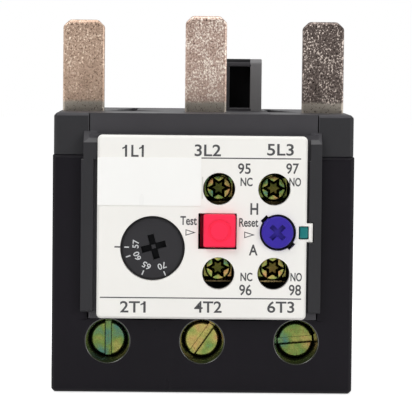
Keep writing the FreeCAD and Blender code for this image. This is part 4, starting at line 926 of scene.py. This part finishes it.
def lettering(name: str, text: str, wide: float, tall: float, depth: float, weight: float = 0.012) -> Piece:
    """A word as a mesh whose lower left corner is at the origin.

    Args:
        name: the piece's name.
        text: the word.
        wide: its width in metres.
        tall: the height of its capitals in metres.
        depth: how far the ink stands up, in metres.
        weight: how much the strokes are thickened, as a share of the type's size.

    Returns:
        The piece, lying in the XY plane.
    """
    clear_selection()
    bpy.ops.object.text_add()
    words = bpy.context.object
    words.data.body = text
    words.data.resolution_u = 6
    words.data.offset = weight
    words.data.extrude = 0.5
    activate(words)
    bpy.ops.object.convert(target="MESH")
    piece = bpy.context.object
    piece.name = name
    piece.data.name = name
    with editing(piece):
        bpy.ops.mesh.remove_doubles(threshold=0.0001)
    if "1" in text:
        flag_ones(piece)
    places = list(zip(*(vertex.co for vertex in piece.data.vertices)))
    low = Vector([min(values) for values in places])
    size = Vector([max(values) for values in places]) - low
    stretch = Matrix.Diagonal((wide / size.x, tall / size.y, depth / size.z, 1))
    return move_mesh(piece, stretch @ Matrix.Translation(-low))


# Dial

@dataclass(frozen=True)
class DialMark:
    """A setting on the dial: its number, the angle of its tick and where the number stands."""

    number: str
    tick_angle: float
    tick_radius: float
    angle: float
    radius: float
    tilt: float


@dataclass
class Dial:
    """The current dial with its printed scale."""

    face: float = field(default_factory=lambda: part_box("setting_dial")[0][1])
    centre_x: float = -11.7 * MM
    centre_z: float = 34.0 * MM
    edge: float = 0.15 * MM
    print_shift: float = 0.2 * MM
    letter_height: float = 1.45 * MM
    letter_width: float = 1.95 * MM
    tick_length: float = 1.1 * MM
    tick_width: float = 0.27 * MM
    tick_corner: float = 0.06 * MM
    boss_side: float = 0.95 * MM
    boss_rise: float = 0.75 * MM
    boss_inset: float = 0.12 * MM
    boss_lift: float = 0.08 * MM
    boss_edge: float = 0.05 * MM
    boss_turn: float = math.radians(15.0)
    cross_depth: float = 1.3 * MM
    cross_reach: float = 3.4 * MM
    cross_shift: Vector = field(default_factory=lambda: Vector((0.24, 0.0, 0.30)) * MM)
    ink: float = 0.02 * MM
    marks: tuple[DialMark, ...] = (
        DialMark("57", 178.5, 6.2, 167.5, 4.2, 176.0),
        DialMark("60", 198.7, 6.15, 206.5, 4.2, 202.0),
        DialMark("65", 247.2, 6.2, 249.0, 4.4, 240.0),
        DialMark("70", 294.5, 6.45, 296.0, 4.6, 290.0),
    )

    def build(self) -> None:
        """Dress the knob, print the scale and add the recess's boss."""
        knob = merged_copy("setting_dial", "dial_knob")
        deepest = self.face + self.cross_depth + 0.3 * MM
        for vertex in knob.data.vertices:
            if self.off_axis(vertex.co) < self.cross_reach and vertex.co.y < deepest:
                vertex.co += self.cross_shift
        settle(soften(knob, self.edge), "dial", DIAL_BLACK, ["setting_dial"])
        # Painted shade in the dial's cross recess.
        paint(knob, PAINTED_RECESS_SHADE, lambda face: self.off_axis(face.center) < self.cross_reach
              and face.center.y > self.face + 0.1 * MM)
        for mark in self.marks:
            self.number(mark)
            self.tick(mark)
        self.boss()

    def off_axis(self, place: Vector) -> float:
        """How far a place lies from the dial's axis."""
        return math.hypot(place.x - self.centre_x, place.z - self.centre_z)

    def point(self, angle: float, radius: float) -> Vector:
        """A point of the dial's face."""
        turn = math.radians(angle)
        across = self.centre_x + self.print_shift + radius * math.cos(turn)
        return Vector((across, self.face, self.centre_z + radius * math.sin(turn)))

    def number(self, mark: DialMark) -> None:
        """One number, its top outwards."""
        piece = lettering("scale_" + mark.number, mark.number, self.letter_width, self.letter_height,
                          self.ink)
        move_mesh(piece, Matrix.Translation((-self.letter_width / 2, -self.letter_height / 2, 0)))
        place = self.point(mark.angle, mark.radius * MM)
        move_mesh(piece, facing_front(place, math.radians(mark.tilt - 90)))
        settle(piece, "dial", PRINT_WHITE)

    def tick(self, mark: DialMark) -> None:
        """One tick along the radius."""
        piece = flat_bar("tick_" + mark.number, self.tick_length, self.tick_width, self.ink,
                         self.tick_corner, 2)
        place = self.point(mark.tick_angle, mark.tick_radius * MM)
        move_mesh(piece, facing_front(place, math.radians(mark.tick_angle)))
        settle(piece, "dial", PRINT_WHITE)

    def boss(self) -> None:
        """The small square boss in the middle of the cross recess."""
        clear_selection()
        bpy.ops.mesh.primitive_cube_add(size=1.0)
        piece = take_primitive("dial_boss")
        move_mesh(piece, Matrix.Diagonal((self.boss_side, self.boss_side, self.boss_rise, 1)))
        pick_faces(piece, lambda face: face.normal.z > 0.9)
        with editing(piece, everything=False):
            bpy.ops.mesh.inset(thickness=self.boss_inset)
            bpy.ops.transform.translate(value=(0, 0, self.boss_lift))
        move_mesh(piece, Matrix.Translation((0, 0, self.boss_rise / 2)))
        place = Vector((self.centre_x, self.face + self.cross_depth, self.centre_z)) + self.cross_shift
        move_mesh(piece, facing_front(place, self.boss_turn))
        settle(soften(piece, self.boss_edge), "dial", DIAL_BLACK)


# Buttons

@dataclass
class Buttons:
    """The test button, the reset button and the trip indicator."""

    edge: float = 0.2 * MM
    flag_edge: float = 0.5 * MM
    test_shift: Vector = field(default_factory=lambda: Vector((0.25, 0.0, 0.2)) * MM)
    test_flange: float = -34.8 * MM
    reset_centre: tuple[float, float] = (17.3 * MM, 37.9 * MM)
    reset_head: float = 0.955
    reset_shift: Vector = field(default_factory=lambda: Vector((-0.11, 0.0, 0.09)) * MM)

    def build(self) -> None:
        """Dress each one."""
        test = move_mesh(merged_copy("test_button", "red_test_button"), Matrix.Translation(self.test_shift))
        settle(soften(test, self.edge), "test_button", BUTTON_RED, ["test_button"])
        # Painted shade on the red button's rear, which shows in the gap of its hole.
        paint(test, PAINTED_RECESS_SHADE, lambda face: face.center.y > self.test_flange)
        reset = merged_copy("reset_button", "blue_reset_button")
        for vertex in reset.data.vertices:
            for axis, middle in zip((0, 2), self.reset_centre):
                vertex.co[axis] = middle + (vertex.co[axis] - middle) * self.reset_head
        move_mesh(reset, Matrix.Translation(self.reset_shift))
        settle(soften(reset, self.edge), "reset_button", BUTTON_BLUE, ["reset_button"])
        flag = soften(merged_copy("trip_indicator", "green_trip_flag"), self.flag_edge)
        settle(flag, "trip_indicator", FLAG_GREEN, ["trip_indicator"])


@dataclass
class ReturnSpring:
    """A button's return spring, which shortens as the button goes in."""

    node: str
    body: str
    joint: str
    travel: float

    def build(self) -> None:
        """Smooth the wire, dress it in steel and hang it on its body."""
        piece = activate(merged_copy(self.node, self.node.replace("_spring", "_return_coil")))
        bpy.ops.object.shade_smooth_by_angle(angle=math.radians(50.0))
        settle(piece, self.body, STEEL, [self.node])
        low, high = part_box(self.node)
        anchor = middle_of(self.node)
        anchor.y = high[1]
        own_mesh(piece)


# Screws

def star_tool(name: str, arms: int, waist: float, reach: float, shape: float, depth: float) -> Piece:
    """A star-shaped cutter that narrows with depth.

    Args:
        name: the cutter's name.
        arms: how many arms it has.
        waist: its radius between the arms, in metres.
        reach: its radius at the arms' ends, in metres.
        shape: how the lobes between the arms bulge; a lower power narrows the arms.
        depth: how far it cuts, in metres.

    Returns:
        The cutter, its mouth just above the XY plane.
    """
    clear_selection()
    bpy.ops.mesh.primitive_circle_add(vertices=72, radius=1.0, fill_type="NGON")
    tool = take_primitive(name)
    for vertex in tool.data.vertices:
        angle = math.atan2(vertex.co.y, vertex.co.x)
        radius = waist + (reach - waist) * (1 - abs(math.sin(arms / 2 * angle)) ** shape)
        vertex.co = (radius * math.cos(angle), radius * math.sin(angle), 0.05 * MM)
    with editing(tool):
        bpy.ops.mesh.extrude_region_move(TRANSFORM_OT_translate={"value": (0, 0, -depth)})
        bpy.ops.transform.resize(value=(0.5, 0.5, 1))
        bpy.ops.mesh.select_all(action="SELECT")
        bpy.ops.mesh.normals_make_consistent(inside=False)
    return tool


@dataclass
class CaseScrews:
    """The four screws that hold the case together from behind, with cross recesses."""

    edge: float = 0.25 * MM
    recess_waist: float = 0.48 * MM
    recess_reach: float = 1.6 * MM
    recess_shape: float = 0.4
    recess_depth: float = 1.0 * MM

    def build(self) -> None:
        """Round the heads and cut a recess into each."""
        piece = merged_copy("case_screws", "case_fasteners")
        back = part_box("case_screws")[1][1]
        rims = [vertex.co.copy() for vertex in piece.data.vertices if vertex.co.y > back - 0.1 * MM]
        middle = middle_of("case_screws")
        soften(piece, self.edge)
        turn = Matrix.Rotation(math.radians(-90), 4, "X") @ Matrix.Rotation(math.radians(45), 4, "Z")
        for right in (False, True):
            for above in (False, True):
                rim = [c for c in rims if (c.x > middle.x) == right and (c.z > middle.z) == above]
                place = Vector(((min(c.x for c in rim) + max(c.x for c in rim)) / 2, back,
                                (min(c.z for c in rim) + max(c.z for c in rim)) / 2))
                tool = star_tool("case_recess", 4, self.recess_waist, self.recess_reach, self.recess_shape,
                                 self.recess_depth)
                carve(piece, move_mesh(tool, Matrix.Translation(place) @ turn))
        settle(piece, "case", STEEL, ["case_screws"])


@dataclass
class ClampScrew:
    """A slotted cheese-head screw of a box clamp."""

    pole: Pole
    finish: Finish
    edge: float = 0.28 * MM

    def build(self) -> None:
        """Round the head's edges and the slot's lips."""
        side = self.pole.value
        node = side + "_terminal_screw"
        piece = soften(merged_copy(node, side + "_clamp_screw"), self.edge, 3)
        settle(piece, side + "_screw", self.finish, [node])


@dataclass
class ControlScrew:
    """A star-recessed pan-head screw of an auxiliary terminal."""

    contact: Contact
    finish: Finish
    sides: int = 64
    arms: int = 6
    arm_reach: float = 0.97
    waist: float = 0.55
    arm_shape: float = 0.8
    depth: float = 1.0 * MM
    recess_start: float = -0.12 * MM
    crown: float = 0.5 * MM
    head_thick: float = 2.2 * MM
    shank: float = 1.75 * MM
    shank_length: float = 6.8 * MM
    rings: int = 22
    root: float = 0.84
    point: float = 0.7

    def build(self) -> None:
        """Model the head and its recess, add the threaded shank and put the screw in its place."""
        name = self.contact.value
        node = name + "_terminal_screw"
        low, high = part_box(node)
        radius = (high[0] - low[0]) / 2
        head = self.head(name, radius)
        reach = self.arm_reach * radius
        carve(head, star_tool(name + "_recess", self.arms, self.waist * radius, reach, self.arm_shape,
                              self.depth))
        shank = self.threaded_shank(name)
        activate(head)
        shank.select_set(True)
        bpy.ops.object.join()
        head.name = head.data.name = name + "_control_screw"
        self.finish.cover(head)
        # Painted shade on the faces of the star recess.
        paint(head, PAINTED_SCREW_RECESS_SHADE, lambda face: face.center.xy.length < reach
              and -self.head_thick < face.center.z < self.recess_start)
        activate(head)
        bpy.ops.object.shade_smooth_by_angle(angle=math.radians(35.0))
        place = middle_of(node)
        place.y = low[1]
        move_mesh(head, facing_front(place))
        settle(head, name + "_screw", stands_for=[node])

    def head(self, name: str, radius: float) -> Piece:
        """A disc whose upper edge is rolled over towards the crown."""
        clear_selection()
        bpy.ops.mesh.primitive_cylinder_add(vertices=self.sides, radius=radius, depth=self.head_thick,
                                            location=(0, 0, -self.head_thick / 2))
        piece = take_primitive(name + "_head")
        pick_faces(piece, lambda face: face.normal.z > 0.9)
        with editing(piece, "FACE", everything=False):
            bpy.ops.mesh.bevel(offset=self.crown, segments=5, affect="EDGES")
        return piece

    def threaded_shank(self, name: str) -> Piece:
        """A shank with turned thread rings and a pointed lead."""
        clear_selection()
        bpy.ops.mesh.primitive_cylinder_add(vertices=24, radius=self.shank, depth=self.shank_length,
                                            location=(0, 0, -self.head_thick - self.shank_length / 2))
        piece = take_primitive(name + "_shank")
        with editing(piece, "FACE"):
            for step in range(1, self.rings):
                level = -self.head_thick - self.shank_length * step / self.rings
                bpy.ops.mesh.select_all(action="SELECT")
                bpy.ops.mesh.bisect(plane_co=(0, 0, level), plane_no=(0, 0, 1))
        for vertex in piece.data.vertices:
            step = round((-vertex.co.z - self.head_thick) / self.shank_length * self.rings)
            narrow = self.point if step == self.rings else self.root if step % 2 else 1.0
            vertex.co.xy *= narrow
        return piece


# Blades and inner pieces

@dataclass
class Blade:
    """A line blade with rounded edges and coarse plating."""

    pole: Pole
    finish: Finish
    edge: float = 0.45 * MM

    def build(self) -> None:
        """Round the blade's edges."""
        side = self.pole.value
        node = side + "_phase_blade"
        piece = soften(merged_copy(node, side + "_line_blade"), self.edge, 3)
        settle(piece, "case", self.finish, [node])


INNER_FINISHES = {
    "push_slide": SLIDE_CREAM, "difference_slide": SLIDE_CREAM, "difference_lever": SLIDE_CREAM,
    "trip_lever": SLIDE_CREAM, "adjusting_slide": SLIDE_CREAM, "contact_rocker": SLIDE_CREAM,
    "compensation_strip": BIMETAL, "reset_selector": INNER_GREY, "mechanism_base": INNER_GREY,
    "opening_bridge": BRASS, "closing_bridge": BRASS, "rocker_pin": STEEL, "snap_spring": STEEL,
}


def dress_inner_pieces(zinc: Finish) -> None:
    """Give every node that stays its own finish."""
    finishes = dict(INNER_FINISHES)
    for pole in Pole:
        finishes[pole.value + "_load_bar"] = BRASS
        finishes[pole.value + "_bimetal_strip"] = BIMETAL
        finishes[pole.value + "_heater_winding"] = HEATER
        finishes[pole.value + "_clamp_cage"] = zinc
    for contact in Contact:
        finishes[contact.value + "_terminal"] = BRASS
        finishes[contact.value + "_saddle_washer"] = zinc
    for node, finish in finishes.items():
        finish.cover(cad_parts[node])
        log.info("%s keeps its solid", node)


# Studio

@dataclass(frozen=True)
class Lamp:
    """A soft square lamp, aimed at the relay."""

    name: str
    place: tuple[float, float, float]
    size: float
    power: float
    aim: tuple[float, float, float] = (0.0, 0.0, 0.045)

    def build(self) -> None:
        """Hang the lamp in its place."""
        light = bpy.data.lights.new(self.name, "AREA")
        light.size = self.size
        light.energy = self.power
        lamp = bpy.data.objects.new(self.name, light)
        lamp.location = self.place
        lamp.rotation_euler = (Vector(self.aim) - Vector(self.place)).to_track_quat("-Z", "Y").to_euler()
        bpy.context.scene.collection.objects.link(lamp)


@dataclass
class Studio:
    """A pale floor, a white surround and soft lamps."""

    floor_size: float = 6.0
    floor_drop: float = 0.2 * MM
    floor_tone: float = 0.80
    floor_fleck: float = 0.816
    floor_lift: float = 0.66
    surround: float = 0.44
    room_dark: float = 0.10
    room_pale: float = 0.80
    room_span: tuple[float, float] = (-0.97, -0.45)
    lamps: tuple[Lamp, ...] = (
        Lamp("key", (-0.55, -0.75, 0.85), size=0.6, power=5.3),
        Lamp("fill", (0.75, -0.8, 0.35), size=0.5, power=3.4),
        Lamp("top", (0.0, 0.15, 1.0), size=0.6, power=2.4),
    )

    def build(self) -> None:
        """Make the floor, the surround and the lamps."""
        bpy.context.scene.view_settings.view_transform = "Standard"
        self.floor()
        self.world()
        for lamp in self.lamps:
            lamp.build()

    def floor(self) -> None:
        """A floor that shows white to the camera and keeps the shadow."""
        clear_selection()
        bpy.ops.mesh.primitive_plane_add(size=self.floor_size, location=(0, 0, -self.floor_drop))
        plane = take_primitive("floor")
        material = bpy.data.materials.new("floor_paper")
        graph = Graph(material)
        paper = graph.node("BsdfDiffuse")
        tone, fleck = (self.floor_tone,) * 3, (self.floor_fleck,) * 3
        graph.join(graph.blend(graph.noise(graph.place(), 60.0), tone, fleck), paper.inputs[0])
        glow = graph.node("Emission")
        seen = graph.node("LightPath")
        lift = graph.maths("MAXIMUM", seen.outputs["Is Camera Ray"], seen.outputs["Is Glossy Ray"])
        graph.join(graph.maths("MULTIPLY", lift, self.floor_lift), glow.inputs["Strength"])
        both = graph.node("AddShader")
        graph.join(paper.outputs[0], both.inputs[0])
        graph.join(glow.outputs[0], both.inputs[1])
        graph.join(both.outputs[0], graph.node("OutputMaterial").inputs[0])
        plane.data.materials.append(material)

    def world(self) -> None:
        """White to the camera; seen in gloss it darkens towards the front, where the room is."""
        world = bpy.data.worlds.new("surround")
        bpy.context.scene.world = world
        graph = Graph(world)
        seen = graph.node("LightPath").outputs
        direction = graph.node("SeparateXYZ")
        graph.join(graph.node("TexCoord").outputs["Generated"], direction.inputs[0])
        room = graph.span(direction.outputs[1], self.room_dark, self.room_pale, *self.room_span)
        gloss = graph.maths("MULTIPLY", seen["Is Glossy Ray"], room)
        direct = graph.maths("MAXIMUM", seen["Is Glossy Ray"], seen["Is Camera Ray"])
        plain = graph.maths("SUBTRACT", 1.0, direct)
        strength = graph.maths("ADD", gloss, graph.maths("MULTIPLY", plain, self.surround))
        strength = graph.maths("ADD", strength, seen["Is Camera Ray"])
        backdrop = graph.node("Background")
        backdrop.inputs["Color"].default_value = (1.0, 1.0, 1.0, 1.0)
        graph.join(strength, backdrop.inputs["Strength"])
        graph.join(backdrop.outputs[0], graph.node("OutputWorld").inputs[0])


ZINC_GREEN = Passivation("zinc_green", shift=(0.011, 0.0, 0.004), warmth=0.1, dim=0.60)
ZINC_STRAW = Passivation("zinc_straw", shift=(0.031, 0.02, 0.0), warmth=0.62, dim=0.72)
ZINC_MIXED = Passivation("zinc_mixed", shift=(0.07, 0.0, 0.033), warmth=0.5, dim=0.58)
ZINC_AMBER = Passivation("zinc_amber", shift=(0.052, 0.013, 0.0), warmth=0.62, dim=0.8, patch_scale=420.0)
# One plating in three copies: their tones differ as painted reflection, and the right blade's darker copy is
# painted shade.
WARM_PLATING = Plating("warm_plating", (0.58, 0.41, 0.31), (1.0, 0.84, 0.68), (0.36, 0.25, 0.18), 0.50)
ROSY_PLATING = Plating("rosy_plating", (0.56, 0.40, 0.33), (1.0, 0.90, 0.80), (0.22, 0.15, 0.12), 0.78)
SHADED_PLATING = Plating("shaded_plating", (0.15, 0.118, 0.105), (0.85, 0.74, 0.66), (0.045, 0.038, 0.034), 0.66)


def main() -> None:
    """Build the relay's pieces in order, then the studio and the camera."""
    logging.basicConfig(level=logging.INFO, format="%(message)s")
    Case().build()
    PlatePrint().build()
    Dial().build()
    Buttons().build()
    ReturnSpring("test_spring", "case", "test_push", 2.5 * MM).build()
    ReturnSpring("reset_spring", "reset_selector", "reset_push", 2.0 * MM).build()
    CaseScrews().build()
    for pole, finish in zip(Pole, (ZINC_GREEN, ZINC_STRAW, ZINC_MIXED)):
        ClampScrew(pole, finish).build()
    for contact in Contact:
        ControlScrew(contact, ZINC_AMBER).build()
    for pole, finish in zip(Pole, (WARM_PLATING, ROSY_PLATING, SHADED_PLATING)):
        Blade(pole, finish).build()
    dress_inner_pieces(ZINC_STRAW)
    Studio().build()
    VIEW.set_up()


if __name__ == "__main__":
    main()
